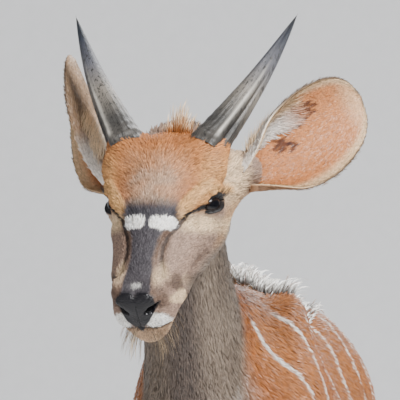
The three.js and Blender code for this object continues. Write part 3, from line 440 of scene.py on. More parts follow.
def surface_net(field, low, high, cell):
    """Points and four-sided faces on a field's zero surface, worked out only in blocks close to it."""
    block = 4
    low = np.asarray(low, float)
    blocks = np.ceil((np.asarray(high) - low) / (cell * block)).astype(int)
    counts = blocks * block + 1
    centres = (np.indices(blocks).reshape(3, -1).T + 0.5) * block * cell + low
    coarse = field(centres)
    values = np.full(counts, 1e3)
    filled = np.kron(coarse.reshape(blocks), np.ones((block,) * 3))
    values[:-1, :-1, :-1] = filled
    near = np.abs(coarse) < 1.5 * block * cell
    first = np.indices(blocks).reshape(3, -1).T[near] * block
    inside_block = np.indices((block + 1,) * 3).reshape(3, -1).T
    every = (first[:, None] + inside_block[None]).reshape(-1, 3)
    flat = np.unique(np.ravel_multi_index(every.T, counts))
    values.ravel()[flat] = field(np.column_stack(np.unravel_index(flat, counts)) * cell + low)
    inside = values < 0
    nx, ny, nz = counts - 1
    corner_inside = [inside[a : a + nx, b : b + ny, c : c + nz] for a, b, c in CORNERS]
    total = sum(part.astype(int) for part in corner_inside)
    mixed = (total > 0) & (total < 8)
    cells = np.argwhere(mixed)
    number = np.full(mixed.shape, -1)
    number[mixed] = np.arange(len(cells))
    sums = np.zeros((len(cells), 3))
    hits = np.zeros(len(cells))
    for c, corner in enumerate(CORNERS):
        for axis in range(3):
            if c & (1 << axis):
                continue
            step = np.eye(3, dtype=int)[axis]
            here = values[tuple((cells + corner).T)]
            there = values[tuple((cells + corner + step).T)]
            crossed = (here < 0) != (there < 0)
            share = np.where(crossed, here / np.where(crossed, here - there, 1), 0)
            sums += (corner + share[:, None] * step) * crossed[:, None]
            hits += crossed
    points = (cells + sums / hits[:, None]) * cell + low
    faces = []
    for axis in range(3):
        step, u, w = (np.eye(3, dtype=int)[(axis + k) % 3] for k in range(3))
        start = inside[: nx + 1 - step[0], : ny + 1 - step[1], : nz + 1 - step[2]]
        end = inside[step[0] :, step[1] :, step[2] :]
        edges = np.argwhere(start != end)
        ring = np.column_stack([number[tuple((edges - shift).T)] for shift in (0 * u, u, u + w, w)])
        outward = start[tuple(edges.T)]
        ring[~outward] = ring[~outward][:, ::-1]
        faces.append(ring)
    return points, np.concatenate(faces)


# Meshes from arrays
def mesh_from(name, points, faces, uv=None, **attributes):
    """A mesh from points in millimetres and faces with as many corners each."""
    mesh = bpy.data.meshes.new(name)
    corners = faces.shape[1]
    mesh.vertices.add(len(points))
    mesh.vertices.foreach_set("co", to_metres(points).ravel())
    mesh.loops.add(faces.size)
    mesh.loops.foreach_set("vertex_index", faces.ravel().astype(np.int32))
    mesh.polygons.add(len(faces))
    mesh.polygons.foreach_set("loop_start", np.arange(0, faces.size, corners, dtype=np.int32))
    mesh.update(calc_edges=True)
    if uv is not None:
        layer = mesh.uv_layers.new(name="OFBake")
        layer.data.foreach_set("uv", uv[faces.ravel()].astype(np.float32).ravel())
    mesh.shade_smooth()
    paint(mesh, **attributes)
    return mesh


def paint(mesh, **attributes):
    """Colours and numbers kept on a mesh's points, for its material to read."""
    for name, values in attributes.items():
        if values.ndim == 2:
            layer = mesh.color_attributes.new(name=name, type="FLOAT_COLOR", domain="POINT")
            rgba = np.column_stack([values, np.ones(len(values))])
            layer.data.foreach_set("color", rgba.astype(np.float32).ravel())
        else:
            layer = mesh.attributes.new(name=name, type="FLOAT", domain="POINT")
            layer.data.foreach_set("value", values.astype(np.float32))


def place(name, mesh, material, replaced=()):
    """A piece in the scene, riding the figure's one body."""
    piece = bpy.data.objects.new(name, mesh)
    bpy.context.scene.collection.objects.link(piece)
    mesh.materials.append(material)
    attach(piece, "root")
    if replaced:
        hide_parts(*replaced)
    return piece


def co_of(mesh):
    co = np.empty(len(mesh.vertices) * 3, np.float32)
    mesh.vertices.foreach_get("co", co)
    return co.reshape(-1, 3).astype(float) * 1000 - SHIFT


def normals_of(mesh):
    normals = np.empty(len(mesh.vertices) * 3, np.float32)
    mesh.vertex_normals.foreach_get("vector", normals)
    return normals.reshape(-1, 3).astype(float)


# Colours, as seen in even light
def colour(code):
    channels = np.array([int(code[i : i + 2], 16) for i in (1, 3, 5)]) / 255
    return np.where(channels <= 0.04045, channels / 12.92, ((channels + 0.055) / 1.055) ** 2.4)


RUFOUS = colour("#a2602f")
RUFOUS_DEEP = colour("#7a4524")
RUFOUS_LIGHT = colour("#b97a44")
FOREHEAD = colour("#b3733f")
FOREHEAD_GREY = colour("#aa9079")
TAN = colour("#c99a62")
CREAM = colour("#e0c39a")
WHITE = colour("#f6f2ea")
SLATE = colour("#3b383d")
CHEEK = colour("#947a69")
GREY_BROWN = colour("#786a5d")
NECK_DARK = colour("#51453d")
NECK_PALE = colour("#9c8b79")
NOSE_BLACK = colour("#0f0d11")
LID_BLACK = colour("#0f0b0a")
DARK_BROWN = colour("#3a2a20")
MUZZLE_BROWN = colour("#5c4638")
CHIN_TAN = colour("#b99878")
EAR_PINK = colour("#be7c4c")
EAR_BACK = colour("#a08264")
SPOT_BROWN = colour("#3a1510")
SHANK = colour("#b97a3f")


def lay(base, over, mask):
    return mix(base, over, np.clip(mask, 0, 1))


def wobble(points, size, seed=0.0):
    """A smooth, steady irregularity between -1 and 1, about size millimetres across."""
    k = 2 * math.pi / size
    x, y, z = points.T * k
    a = np.sin(x * 0.9 + 1.7 * np.sin(y * 0.6 + seed) + seed)
    b = np.sin(y * 1.1 + 1.3 * np.sin(z * 0.7 + 2.1 + seed))
    c = np.sin(z * 0.8 + 1.9 * np.sin(x * 0.5 + 4.2 - seed))
    return (a + b + c) / 3


def near_line(points, line, width):
    """1 on a line through a few places, fading to 0 at width from it. Width may change along it."""
    line = np.asarray(line, float)
    widths = np.broadcast_to(np.asarray(width, float), (len(line),))
    best = np.zeros(len(points))
    for k in range(len(line) - 1):
        along = line[k + 1] - line[k]
        t = np.clip((points - line[k]) @ along / (along @ along), 0, 1)
        away = np.linalg.norm(points - line[k] - t[:, None] * along, axis=1)
        here = mix(widths[k], widths[k + 1], t)
        best = np.maximum(best, smooth(1.25, 0.55, away / here))
    return best


def patch(points, centre, sizes, edge=0.3):
    away = np.linalg.norm((points - np.asarray(centre, float)) / np.asarray(sizes, float), axis=1)
    return smooth(1 + edge, 1 - edge, away)


# The eye's frame on each side: where it looks, and the way to its rear corner and its upper lid
def eye_frame(side):
    level = vec(0, -math.cos(HEAD_PITCH), math.sin(HEAD_PITCH))
    upright = vec(0, math.sin(HEAD_PITCH), math.cos(HEAD_PITCH))
    outward = vec(side, 0, 0)
    look = outward * math.sin(EYE_TURN) + level * math.cos(EYE_TURN)
    back = outward * math.cos(EYE_TURN) - level * math.sin(EYE_TURN)
    rear = back * math.cos(EYE_SLANT) + upright * math.sin(EYE_SLANT)
    up = upright * math.cos(EYE_SLANT) - back * math.sin(EYE_SLANT)
    return outward * EYE_SIDE, look, rear, up


LID_CORNER, LID_UPPER, LID_LOWER = math.radians(62), math.radians(23), math.radians(18)
LID_ROUNDNESS = 1.48


def lid_distance(q, side):
    """How far points lie outside an eye's opening, in millimetres, and how far above its middle line."""
    centre, look, rear, up = eye_frame(side)
    aim = unit(q - centre)
    ahead = aim @ look
    across = np.arctan2(aim @ rear, np.maximum(ahead, 0.05)) / LID_CORNER
    lift = np.arctan2(aim @ up, np.maximum(ahead, 0.05))
    height = lift / np.where(lift > 0, LID_UPPER, LID_LOWER)
    away = np.sqrt(across**2 + np.abs(height) ** LID_ROUNDNESS) - 1
    scale = EYE_RADIUS * mix(LID_LOWER, LID_CORNER, smooth(0.5, 1, np.abs(across)))
    beside = (ahead > 0) & (np.linalg.norm(q - centre, axis=1) < EYE_RADIUS + 8)
    return np.where(beside, away * scale, 40), lift


NOSTRIL = [(10, -154, -12.5), (14.5, -151, -10), (18, -147, -7.5), (21, -143, -6)]
NOSTRIL_WIDTH = [3.4, 5.0, 5.0, 3.0]
# The nose pad as seen from the front: height from the eyes, half width
NOSE_PAD = [
    (-129, -3),
    (-127.5, 1),
    (-124.5, 2.5),
    (-121, 6.5),
    (-117, 11.5),
    (-112, 14.5),
    (-106, 18),
    (-99, 20.5),
    (-93, 19),
    (-88, 12),
]
# Where the mouth ends, how low it lies there and how far it rises to the tip of the muzzle
MOUTH_CORNER, MOUTH_TIP = -86.0, -152.0
MOUTH_HEIGHT, MOUTH_RISE = -52.0, 18.0


def mouth_height(y):
    t = np.clip((MOUTH_CORNER - y) / (MOUTH_CORNER - MOUTH_TIP), 0, 1)
    return MOUTH_HEIGHT + MOUTH_RISE * t**2


def near_mouth(q):
    started = smooth(MOUTH_CORNER + 4, MOUTH_CORNER - 10, q[:, 1]) * (q[:, 2] > -70)
    return started * hump(q[:, 2], mouth_height(q[:, 1]), 1.9)


# From the eye's front corner toward the nose, and the fold below the eye, as seen from the front
TEAR_LINE = [(48, -2.5), (37, -8.5), (26.5, -16.5)]
UNDER_EYE = [(60, -10), (57, -24), (49, -38)]
# The crease beside the bridge of the nose, seen the same way
CREASE = [(30, -17), (26, -25.6), (20, -34), (17.5, -44), (17.5, -54), (19.5, -64), (23, -74)]


def height_of(q):
    """How high a place on the head is above the eyes."""
    return q @ vec(0, math.sin(HEAD_PITCH), math.cos(HEAD_PITCH))


def seen_from_front(q):
    """How far to either side a place is, and how high, as one sees them facing the animal."""
    return np.column_stack([np.abs(q[:, 0]), height_of(q)])


def read_rows(rows, at):
    heights, widths = np.array(rows, float).T
    return np.interp(at, heights, widths)


def nose_pad(q):
    """The bare pad round the nostrils, with the strip that runs down to the lip."""
    across, height = seen_from_front(q).T
    notch = 4 * smooth(5, 0, across)
    inside = smooth(0.8, -0.8, across - read_rows(NOSE_PAD, height)) * smooth(-87, -89.5, height + notch)
    return inside * smooth(-118, -124, q[:, 1])


def sculpt_face(points, normals):
    """The folds, lids, nostrils and mouth that the head's plain forms don't have."""
    q = to_head(points)
    facing = normals @ HEAD_AXES.T
    m = mirrored(q)
    inward = 8.5 * near_line(m, NOSTRIL, NOSTRIL_WIDTH) ** 1.5
    inward += 3.4 * near_mouth(q)
    height = height_of(q)
    philtrum = hump(q[:, 0], 0, 1.1) * smooth(-98, -106, height) * smooth(-128, -125, height)
    inward += 1.4 * philtrum * smooth(-120, -134, q[:, 1])
    seen = seen_from_front(q)
    inward -= 1.3 * nose_pad(q)
    inward -= 3.4 * patch(seen, (10.5, -97), (10, 8), 0.9) * nose_pad(q)
    inward -= 1.6 * patch(seen, (8, -114), (9, 6), 0.8) * nose_pad(q)
    inward += 3.0 * near_line(seen, CREASE, 4.2) * smooth(10, -10, q[:, 1])
    inward -= 2.2 * near_line(seen, [(56, 14), (50, 19), (40, 8), (28, -9)], 6)
    inward += 2.2 * patch(seen, (31, -79), (5, 9), 0.5)
    inward += 1.2 * near_line(seen, TEAR_LINE, (2.6, 2.2, 1.6)) * smooth(20, 5, q[:, 1])
    inward += 1.4 * near_line(seen, UNDER_EYE, (2.0, 2.2, 1.8)) * smooth(36, 24, q[:, 1])
    for side in SIDES:
        away, lift = lid_distance(q, side)
        centre = eye_frame(side)[0]
        close = smooth(34, 26, np.linalg.norm(q - centre, axis=1))
        fold = np.where(lift > 0, 1.5, 0.9) * hump(away, np.where(lift > 0, 4.6, 4.0), 1.3)
        rim = 0.8 * hump(away, 1.2, 1.1)
        inward += close * (fold - rim)
    q = q - facing * inward[:, None]
    for side in SIDES:
        away, _ = lid_distance(q, side)
        centre = eye_frame(side)[0]
        arm = q - centre
        reach = np.linalg.norm(arm, axis=1)
        opening = smooth(0.5, -0.7, away) * (reach < EYE_RADIUS + 9)
        new_reach = mix(reach, EYE_RADIUS - 1.6, opening)
        q = centre + arm * (new_reach / np.maximum(reach, 1e-6))[:, None]
    return from_head(q)


# Where the head, neck, limbs and tail take over, as smooth shares of each point
HEAD_CUT, HEAD_AHEAD = vec(-33, -507, 1006), unit(vec(-0.14, -0.86, 0.49))
NECK_CUT, NECK_AHEAD = vec(-4, -340, 780), unit(vec(-0.06, -0.86, 0.5))
# Where the neck's grey gives way to the trunk's rufous
GREY_CUT, GREY_AHEAD = vec(-20, -384, 800), unit(vec(-0.1, -0.95, 0.2))


def shares(points):
    head_share = smooth(-16, 16, (points - HEAD_CUT) @ HEAD_AHEAD)
    neck_share = smooth(-34, 26, (points - NECK_CUT) @ NECK_AHEAD) * smooth(640, 730, points[:, 2])
    leg_share = smooth(620, 520, points[:, 2])
    tail_share = smooth(404, 420, points[:, 1]) * smooth(560, 590, points[:, 2])
    return head_share, neck_share * (1 - head_share), leg_share, tail_share


# The coat's depth over the skin
TRUNK_DEPTH, NECK_DEPTH, THIGH_DEPTH, SHANK_DEPTH, FACE_DEPTH, TAIL_DEPTH = 3.6, 4.2, 2.6, 1.4, 1.9, 1.0


def coat_depth(points):
    """How deep the coat is over the skin, in millimetres."""
    head_share, neck_share, leg_share, tail_share = shares(points)
    q = to_head(points)
    depth = mix(TRUNK_DEPTH, NECK_DEPTH, neck_share)
    on_leg = THIGH_DEPTH - (THIGH_DEPTH - SHANK_DEPTH) * smooth(540, 300, points[:, 2])
    depth = mix(depth, on_leg, leg_share)
    face = FACE_DEPTH * (1 - smooth(-112, -132, q[:, 1]))
    for side in SIDES:
        face = face * smooth(20, 34, np.linalg.norm(q - eye_frame(side)[0], axis=1))
    depth = mix(depth, face, head_share)
    return mix(depth, TAIL_DEPTH, tail_share)


def coat_length(points):
    head_share, neck_share, leg_share, _ = shares(points)
    q = to_head(points)
    length = mix(7.0 - 2.5 * stripe_share(points), 8.5, neck_share)
    length = length + 6 * smooth(570, 530, points[:, 2]) * (1 - leg_share)
    length = mix(length, 7 + 5 * smooth(250, 520, points[:, 2]), leg_share)
    face = 3.4 + 2.2 * smooth(-110, -30, q[:, 1]) + 2.2 * smooth(-10, 60, q[:, 1])
    for side in SIDES:
        face = face * (0.45 + 0.55 * smooth(20, 36, np.linalg.norm(q - eye_frame(side)[0], axis=1)))
    return mix(length, face, head_share)


def coat_lie(points, normals):
    """The way the hair points, along the skin."""
    head_share, neck_share, leg_share, tail_share = shares(points)
    lie = np.tile(vec(0, 1, -0.28), (len(points), 1))
    lie[:, 2] -= 0.9 * smooth(0.15, 0.9, np.abs(normals[:, 0]))
    down_neck = -NECK_ALONG[along_neck(points)] + vec(0, 0, -0.35)
    lie = mix(lie, down_neck, neck_share)
    lie = mix(lie, vec(0, 0.12, -1), np.maximum(leg_share, tail_share))
    q = to_head(points)
    spread = np.clip(q[:, 0] / 30, -1.4, 1.4)
    over = smooth(-60, 0, q[:, 1]) * smooth(5, 30, q[:, 2])
    on_head = np.column_stack([spread * (0.15 + 0.75 * over), np.ones(len(q)), -0.35 * (1 - over)])
    lie = mix(lie, on_head @ HEAD_AXES, head_share)
    lie = lie - normals * (lie * normals).sum(axis=1, keepdims=True)
    return unit(lie)


SLATE_BRIDGE = [(-92, 15), (-77, 14), (-56, 10.5), (-36, 12.5), (-26, 17)]


def face_colour(q):
    """The face's markings, with painted shade in the creases beside the nose and below the eyes and a painted
    highlight above the nose. Most are placed by how far across and how high they are seen.
    """
    m = mirrored(q)
    seen = seen_from_front(q)
    across, height = seen.T
    top = smooth(4, 18, q[:, 2])
    tone = lay(np.tile(CHEEK, (len(q), 1)), GREY_BROWN, smooth(-40, -62, q[:, 2]))
    tone = lay(tone, TAN, 0.5 * patch(m, (46, 34, -36), (22, 40, 26), 0.5))
    tone = lay(tone, CREAM, 0.75 * patch(m, (56, 48, -2), (16, 32, 26), 0.5))
    forehead = top * smooth(-14, -2, height)
    tone = lay(tone, FOREHEAD, forehead)
    greyed = (
        smooth(44, 12, across) * smooth(70, 10, height) * mix(0.6, 0.95, smooth(-0.3, 0.5, wobble(q, 26)))
    )
    tone = lay(tone, FOREHEAD_GREY, forehead * greyed)
    tone = lay(tone, TAN, 0.55 * forehead * smooth(34, 48, across) * smooth(66, 30, height))
    tone = lay(
        tone,
        RUFOUS,
        0.6 * patch(seen, (13, 64), (14, 13), 0.6) + 0.5 * patch(seen, (30, 8), (9, 13), 0.6) * forehead,
    )
    tone = lay(
        tone,
        TAN,
        0.95 * near_line(seen, [(56, 14), (50, 19), (40, 8), (28, -9), (25, -16)], (5, 6.5, 6.5, 6, 4)),
    )
    tone = lay(tone, CREAM, 0.85 * patch(seen, (42, -20), (17, 9), 0.6) * smooth(60, 30, q[:, 1]))
    tone = lay(
        tone,
        MUZZLE_BROWN,
        0.85 * smooth(-23, -28, height) * smooth(25, 19, across + 0.1 * (height + 30)) * top,
    )
    # A dark line in the crease beside the bridge of the nose: painted shade
    tone = lay(tone, DARK_BROWN, 0.95 * near_line(seen, CREASE, (2.6, 2.8, 2.6, 2.4, 2.4, 2.4, 2.0)))
    # A dark line in the fold below the eye: painted shade
    tone = lay(tone, DARK_BROWN, 0.6 * near_line(seen, UNDER_EYE, (1.8, 2.2, 1.6)) * smooth(36, 24, q[:, 1]))
    tone = lay(
        tone, CREAM, 0.7 * near_line(seen, [(57, -34), (47, -57), (37, -80), (31, -96)], (4, 4.5, 4, 3.5))
    )
    tone = lay(tone, CREAM, 0.45 * patch(seen, (20, -72), (6, 11), 0.5))
    tone = lay(tone, DARK_BROWN, 0.65 * patch(seen, (31, -78), (4.5, 8), 0.4))
    tone = lay(
        tone,
        MUZZLE_BROWN,
        0.8 * smooth(-80, -88, height) * smooth(-106, -100, height) * smooth(30, 24, across),
    )
    half = read_rows(SLATE_BRIDGE, height)
    bridge = smooth(-20, -26, height) * smooth(-97, -91, height) * smooth(1.8, -1.8, across - half)
    tone = lay(tone, SLATE, bridge * smooth(-6, 4, q[:, 2]) * 0.95)
    band = smooth(9, -8, height) * smooth(-29, -26, height) * smooth(30, 23, across) * top
    tone = lay(tone, SLATE, band)
    bars = ((across - 13.6) / 11.2) ** 4 + ((height + 20.6) / 6.4) ** 4
    tone = lay(tone, WHITE, smooth(1.25, 0.8, bars) * top)
    # A small white patch above the nose pad: a painted highlight
    tone = lay(tone, WHITE, 0.4 * patch(seen, (2, -83.5), (3.2, 2.6), 0.6) * smooth(-110, -120, q[:, 1]))
    below = mouth_height(q[:, 1]) - q[:, 2]
    tone = lay(tone, CHIN_TAN, smooth(-100, -112, q[:, 1]) * smooth(-1, 1, below))
    lips = patch(seen, (17, -116), (10.8, 7.5), 0.2) * smooth(-100, -110, q[:, 1]) * smooth(1, -1, below)
    tone = lay(tone, WHITE, lips)
    tone = lay(tone, NOSE_BLACK, nose_pad(q))
    tone = lay(tone, NOSE_BLACK, near_line(m, NOSTRIL, NOSTRIL_WIDTH))
    tone = lay(tone, NOSE_BLACK, 0.95 * near_mouth(q))
    for side in SIDES:
        away, _ = lid_distance(q, side)
        tone = lay(tone, LID_BLACK, smooth(2.0, 0.9, away))
    return lay(tone, LID_BLACK, near_line(seen, TEAR_LINE, (2.8, 2.0, 1.1)) * smooth(20, 5, q[:, 1]))


def bare_share(points):
    """1 where the skin is bare and moist: nose, lips' edges and lids."""
    q = to_head(points)
    bare = np.maximum(nose_pad(q), 0.7 * near_mouth(q))
    bare = np.maximum(bare, near_line(mirrored(q), NOSTRIL, NOSTRIL_WIDTH))
    for side in SIDES:
        bare = np.maximum(bare, 0.6 * smooth(2.4, 1.2, lid_distance(q, side)[0]))
    return bare * (shares(points)[0] > 0.5)


STRIPES = range(-356, 330, 40)


def stripe_share(points):
    """Thin, broken white stripes that run down the flanks from the crest."""
    share = np.zeros(len(points))
    for number, start in enumerate(STRIPES):
        sweep = start + 0.16 * (860 - points[:, 2]) + 5 * np.sin(points[:, 2] / 43 + number)
        width = 2.0 + 0.4 * math.sin(number * 2.3)
        line = smooth(width + 1, width - 1, np.abs(points[:, 1] - sweep))
        gaps = smooth(-1.3, -1.1, np.sin(points[:, 2] / 8 + number * 1.9) + 0.4 * wobble(points, 60, number))
        reach = smooth(600 + 14 * (number % 3), 650, points[:, 2]) * smooth(868, 846, points[:, 2])
        share = np.maximum(share, line * gaps * reach)
    return share


SPOTS = [(104, 292, 640), (108, 262, 612), (103, 318, 600), (96, 250, 668), (92, -296, 640)]


def body_colour(points, normals):
    leg_share = shares(points)[2]
    tone = np.tile(RUFOUS, (len(points), 1))
    tone = lay(tone, RUFOUS_DEEP, 0.8 * smooth(800, 870, points[:, 2]) * (points[:, 1] > -330))
    tone = lay(tone, RUFOUS_LIGHT, 0.35 * smooth(-0.2, 0.5, wobble(points, 190)))
    tone = lay(tone, GREY_BROWN, 0.6 * smooth(600, 545, points[:, 2]) * (1 - leg_share))
    tone = lay(tone, WHITE, 0.92 * stripe_share(points))
    aside = mirrored(points)
    for spot in SPOTS:
        tone = lay(tone, WHITE, 0.9 * patch(aside, spot, (14, 5.5, 5.5), 0.25))
    tone = lay(tone, SHANK, smooth(470, 400, points[:, 2]))
    inner = smooth(62, 50, aside[:, 0]) * smooth(640, 560, points[:, 2]) * smooth(380, 440, points[:, 2])
    tone = lay(tone, CREAM, 0.7 * inner)
    for joints in LEGS.values():
        knee = joints.get("knee", joints.get("hock"))
        same = np.sign(points[:, 0]) == np.sign(knee[0])
        front = smooth(2, -12, points[:, 1] - knee[1] + 0.06 * (300 - points[:, 2]))
        tone = lay(
            tone, DARK_BROWN, 0.55 * same * front * patch(points, knee + vec(0, -10, 10), (40, 40, 44), 0.6)
        )
        tone = lay(
            tone, DARK_BROWN, 0.8 * patch(points, joints["fetlock"] + vec(0, 16, -6), (24, 18, 20), 0.5)
        )
        tone = lay(tone, WHITE, 0.85 * patch(points, joints["coronet"] + vec(0, -12, 12), (14, 12, 9), 0.35))
    grey = np.tile(GREY_BROWN, (len(points), 1))
    # The neck's grey, with painted shade where it faces down and forward and painted light that pales its
    # sides, then random darker patches
    throat = lay(grey, NECK_DARK, smooth(0.3, -0.6, normals @ unit(vec(0, 0.5, 0.85))))
    throat = lay(throat, NECK_PALE, 0.55 * smooth(0.2, 0.9, np.abs(normals[:, 0])))
    throat = lay(throat, NECK_DARK, 0.3 * smooth(-0.1, 0.6, wobble(points, 90, 3)))
    return lay(
        tone, throat, smooth(-14, 12, (points - GREY_CUT) @ GREY_AHEAD) * smooth(600, 680, points[:, 2])
    )


def coat_colour(points, normals):
    q = to_head(points)
    head_share = shares(points)[0]
    behind = smooth(78, 100, q[:, 1]) * smooth(10, -20, q[:, 2])
    face = lay(face_colour(q), GREY_BROWN, behind)
    return mix(body_colour(points, normals), face, head_share)


# Ears: a leaf rolled into a tube at its root and opening to a shallow cup
EARS = {
    "left_ear": (1, vec(120, 72, 84), vec(0.25, -0.95, -0.12)),
    "right_ear": (-1, vec(-64, 86, 112), vec(-0.92, -0.2, -0.28)),
}
EAR_ROOT = (56, 70, -25)
# Along the ear: half width round the curve, half angle of the roll in degrees, lift of the midline
EAR_ROWS = [
    (0, 37, 150, 0),
    (0.14, 48, 112, 1),
    (0.28, 57, 84, 1),
    (0.48, 59, 68, 0),
    (0.68, 52, 56, -3),
    (0.85, 39, 44, -5),
    (0.95, 23, 36, -6),
    (1, 4, 30, -7),
]


def ear_frame(name):
    side, aim, opening = EARS[name]
    root = from_head(vec(side * EAR_ROOT[0], EAR_ROOT[1], EAR_ROOT[2]))
    along = unit(aim)
    face = unit(opening - along * (opening @ along))
    return root, along, face, np.cross(along, face)


def ear_point(name, u, v):
    root, along, face, across = ear_frame(name)
    _, half, roll, lift = np.moveaxis(rows_at(EAR_ROWS, u), -1, 0)
    turn = np.radians(roll) * v
    bend = half / np.radians(roll)
    out = bend * (1 - np.cos(turn)) + lift
    return (
        root
        + along * (EAR_LENGTH * u)[..., None]
        + across * (bend * np.sin(turn))[..., None]
        + face * out[..., None]
    )


def ear_place(name, u, v, inner):
    """Points and normals on an ear's inner or outer face, with the way to its tip."""
    step = 1e-3
    du = ear_point(name, np.minimum(u + step, 1), v) - ear_point(name, np.maximum(u - step, 0), v)
    dv = ear_point(name, u, v + step) - ear_point(name, u, v - step)
    normal = unit(np.cross(dv, du)) * np.where(inner, 1, -1)[..., None]
    folds = 0.9 * np.cos(v * 9) * smooth(0.6, 0.1, u) * smooth(0.95, 0.6, np.abs(v)) * inner
    thick = 0.8 + 1.1 * (1 - v * v) * (1 - 0.6 * u) + folds
    return ear_point(name, u, v) + normal * thick[..., None], normal, unit(du), unit(dv)


def ear_sheet(name):
    """The closed skin of an ear: points, faces and each point's u, v and inner face share."""
    rows, columns = 64, 56
    stations = np.linspace(0, 1, rows + 1) ** 0.85
    u, v = np.meshgrid(stations, np.linspace(-1, 1, columns + 1), indexing="ij")
    u, v = u.ravel(), v.ravel()
    both = [ear_place(name, u, v, np.full(len(u), face)) for face in (True, False)]
    points = np.concatenate([both[0][0], both[1][0]])
    sheet = len(u)
    at = np.arange(sheet).reshape(rows + 1, columns + 1)
    quads = np.stack([at[:-1, :-1], at[:-1, 1:], at[1:, 1:], at[1:, :-1]], axis=-1).reshape(-1, 4)
    faces = [quads, quads[:, ::-1] + sheet]
    edge = np.concatenate([at[0, :], at[1:, -1], at[-1, -2::-1], at[-2::-1, 0]])
    faces.append(np.column_stack([edge[1:], edge[:-1], edge[:-1] + sheet, edge[1:] + sheet]))
    shares_inner = np.repeat([1.0, 0.0], sheet)
    return points, np.concatenate(faces), np.tile(u, 2), np.tile(v, 2), shares_inner


# How far up each ear its white inner tuft grows, as a share of its length
EAR_TUFT_REACH = {"left_ear": 0.48, "right_ear": 0.32}
# Dark spots inside the ear: place along it and across it, half length and half width
EAR_SPOTS = [
    (0.6, 0.42, 0.08, 0.2),
    (0.52, 0.28, 0.05, 0.12),
    (0.36, 0.1, 0.06, 0.15),
    (0.42, -0.04, 0.035, 0.1),
]


def ear_colour(name, u, v, inner):
    front = -EARS[name][0]
    w = v * front
    tone = np.tile(EAR_PINK, (len(u), 1))
    tone = lay(tone, RUFOUS, 0.5 * smooth(0.2, -0.6, w) * smooth(1, 0.3, u))
    tone = lay(tone, DARK_BROWN, 0.5 * smooth(0.2, 0.05, u))
    for at_u, at_w, long_half, wide_half in EAR_SPOTS:
        away = np.hypot((u - at_u) / long_half, (w - at_w) / wide_half)
        ragged = 0.25 * np.sin(u * 70 + w * 31) + 0.25 * np.sin(w * 47 - u * 23)
        tone = lay(tone, SPOT_BROWN, 0.85 * smooth(1.15, 0.6, away + ragged))
    reach = EAR_TUFT_REACH[name]
    tone = lay(tone, WHITE, 0.95 * smooth(0.3, 0.55, w) * smooth(reach + 0.04, reach - 0.18, u))
    tone = lay(tone, CREAM, 0.9 * smooth(0.7, 0.95, np.abs(v)))
    tone = lay(tone, CREAM, 0.5 * smooth(0.8, 0.95, u))
    back = np.tile(EAR_BACK, (len(u), 1))
    back = lay(back, RUFOUS, 0.3 * smooth(0.6, 0, u))
    back = lay(back, WHITE, 0.8 * smooth(0.6, 0.85, w) * smooth(reach, reach - 0.2, u))
    tone = mix(back, tone, inner)
    tip = np.maximum(smooth(0.97, 0.995, u), smooth(0.975, 0.995, np.abs(v)) * smooth(0.25, 0.5, u))
    return lay(tone, DARK_BROWN, 0.75 * tip)


# Blades of hair: thin tapers along a spine, as one mesh
def blades(name, spines, across, widths, tones, chart):
    """spines is (count, stations, 3) in millimetres, widths (count, stations), tones (count, stations, 3)."""
    count, stations, _ = spines.shape
    pairs = stations - 1
    half = across[:, None] * widths[:, :pairs, None] / 2
    both = np.stack([spines[:, :pairs] - half, spines[:, :pairs] + half], axis=2).reshape(count, 2 * pairs, 3)
    points = np.concatenate([both, spines[:, -1:]], axis=1)
    one = []
    for k in range(pairs - 1):
        one += [(2 * k, 2 * k + 1, 2 * k + 3), (2 * k, 2 * k + 3, 2 * k + 2)]
    one.append((2 * pairs - 2, 2 * pairs - 1, 2 * pairs))
    per = 2 * pairs + 1
    faces = (np.array(one)[None] + (np.arange(count) * per)[:, None, None]).reshape(-1, 3)
    tone = np.concatenate([np.repeat(tones[:, :pairs], 2, axis=1), tones[:, -1:]], axis=1)
    patch_size = 0.003
    rise = np.append(np.repeat(np.arange(pairs) / pairs, 2), 1) - 0.5
    lean = np.append(np.tile([-0.5, 0.5], pairs), 0)
    uv = chart[:, None] + patch_size * np.column_stack([lean, rise])[None]
    return mesh_from(
        name,
        points.reshape(-1, 3),
        faces,
        uv=np.clip(uv.reshape(-1, 2), 0, 1),
        coat_colour=tone.reshape(-1, 3),
        along=np.tile(rise + 0.5, count),
    )


def chart_round(points, middle, along, low, high):
    """An unwrap round an axis: the turn about it and the place along it."""
    along = unit(along)
    side = unit(np.cross(along, vec(0.31, 0.2, 0.93)))
    other = np.cross(along, side)
    away = points - middle
    turn = np.arctan2(away @ side, away @ other) / (2 * math.pi) + 0.5
    return np.column_stack([0.01 + 0.98 * turn, np.clip((away @ along - low) / (high - low), 0.01, 0.99)])


def bent_spines(roots, normals, lies, lengths, lift, stations=3):
    """Spines that leave the skin and bend over along the lie of the coat."""
    t = np.linspace(0, 1, stations)[None, :, None]
    lengths = lengths[:, None, None]
    rise = lift[:, None, None] * np.sin(t * math.pi * 0.62) - 0.05 * (1 - t)
    return roots[:, None] + lengths * (lies[:, None] * t + normals[:, None] * rise)


def scatter(rng, points, triangles, weights, count):
    """Random places on triangles: points, shares of the three corners, and the triangles."""
    a, b, c = (points[triangles[:, k]] for k in range(3))
    area = np.linalg.norm(np.cross(b - a, c - a), axis=1) * weights
    chosen = rng.choice(len(triangles), size=count, p=area / area.sum())
    r, s = rng.random((2, count))
    r = np.sqrt(r)
    return chosen, np.column_stack([1 - r, r * (1 - s), r * s])


# Node trees
def add(tree, kind, inputs=None, **settings):
    """A node with its settings, and its sockets set or linked by name or place."""
    node = tree.nodes.new(kind)
    for name, value in settings.items():
        setattr(node, name, value)
    for key, value in (inputs or {}).items():
        if isinstance(value, bpy.types.NodeSocket):
            tree.links.new(value, node.inputs[key])
        else:
            node.inputs[key].default_value = value
    return node


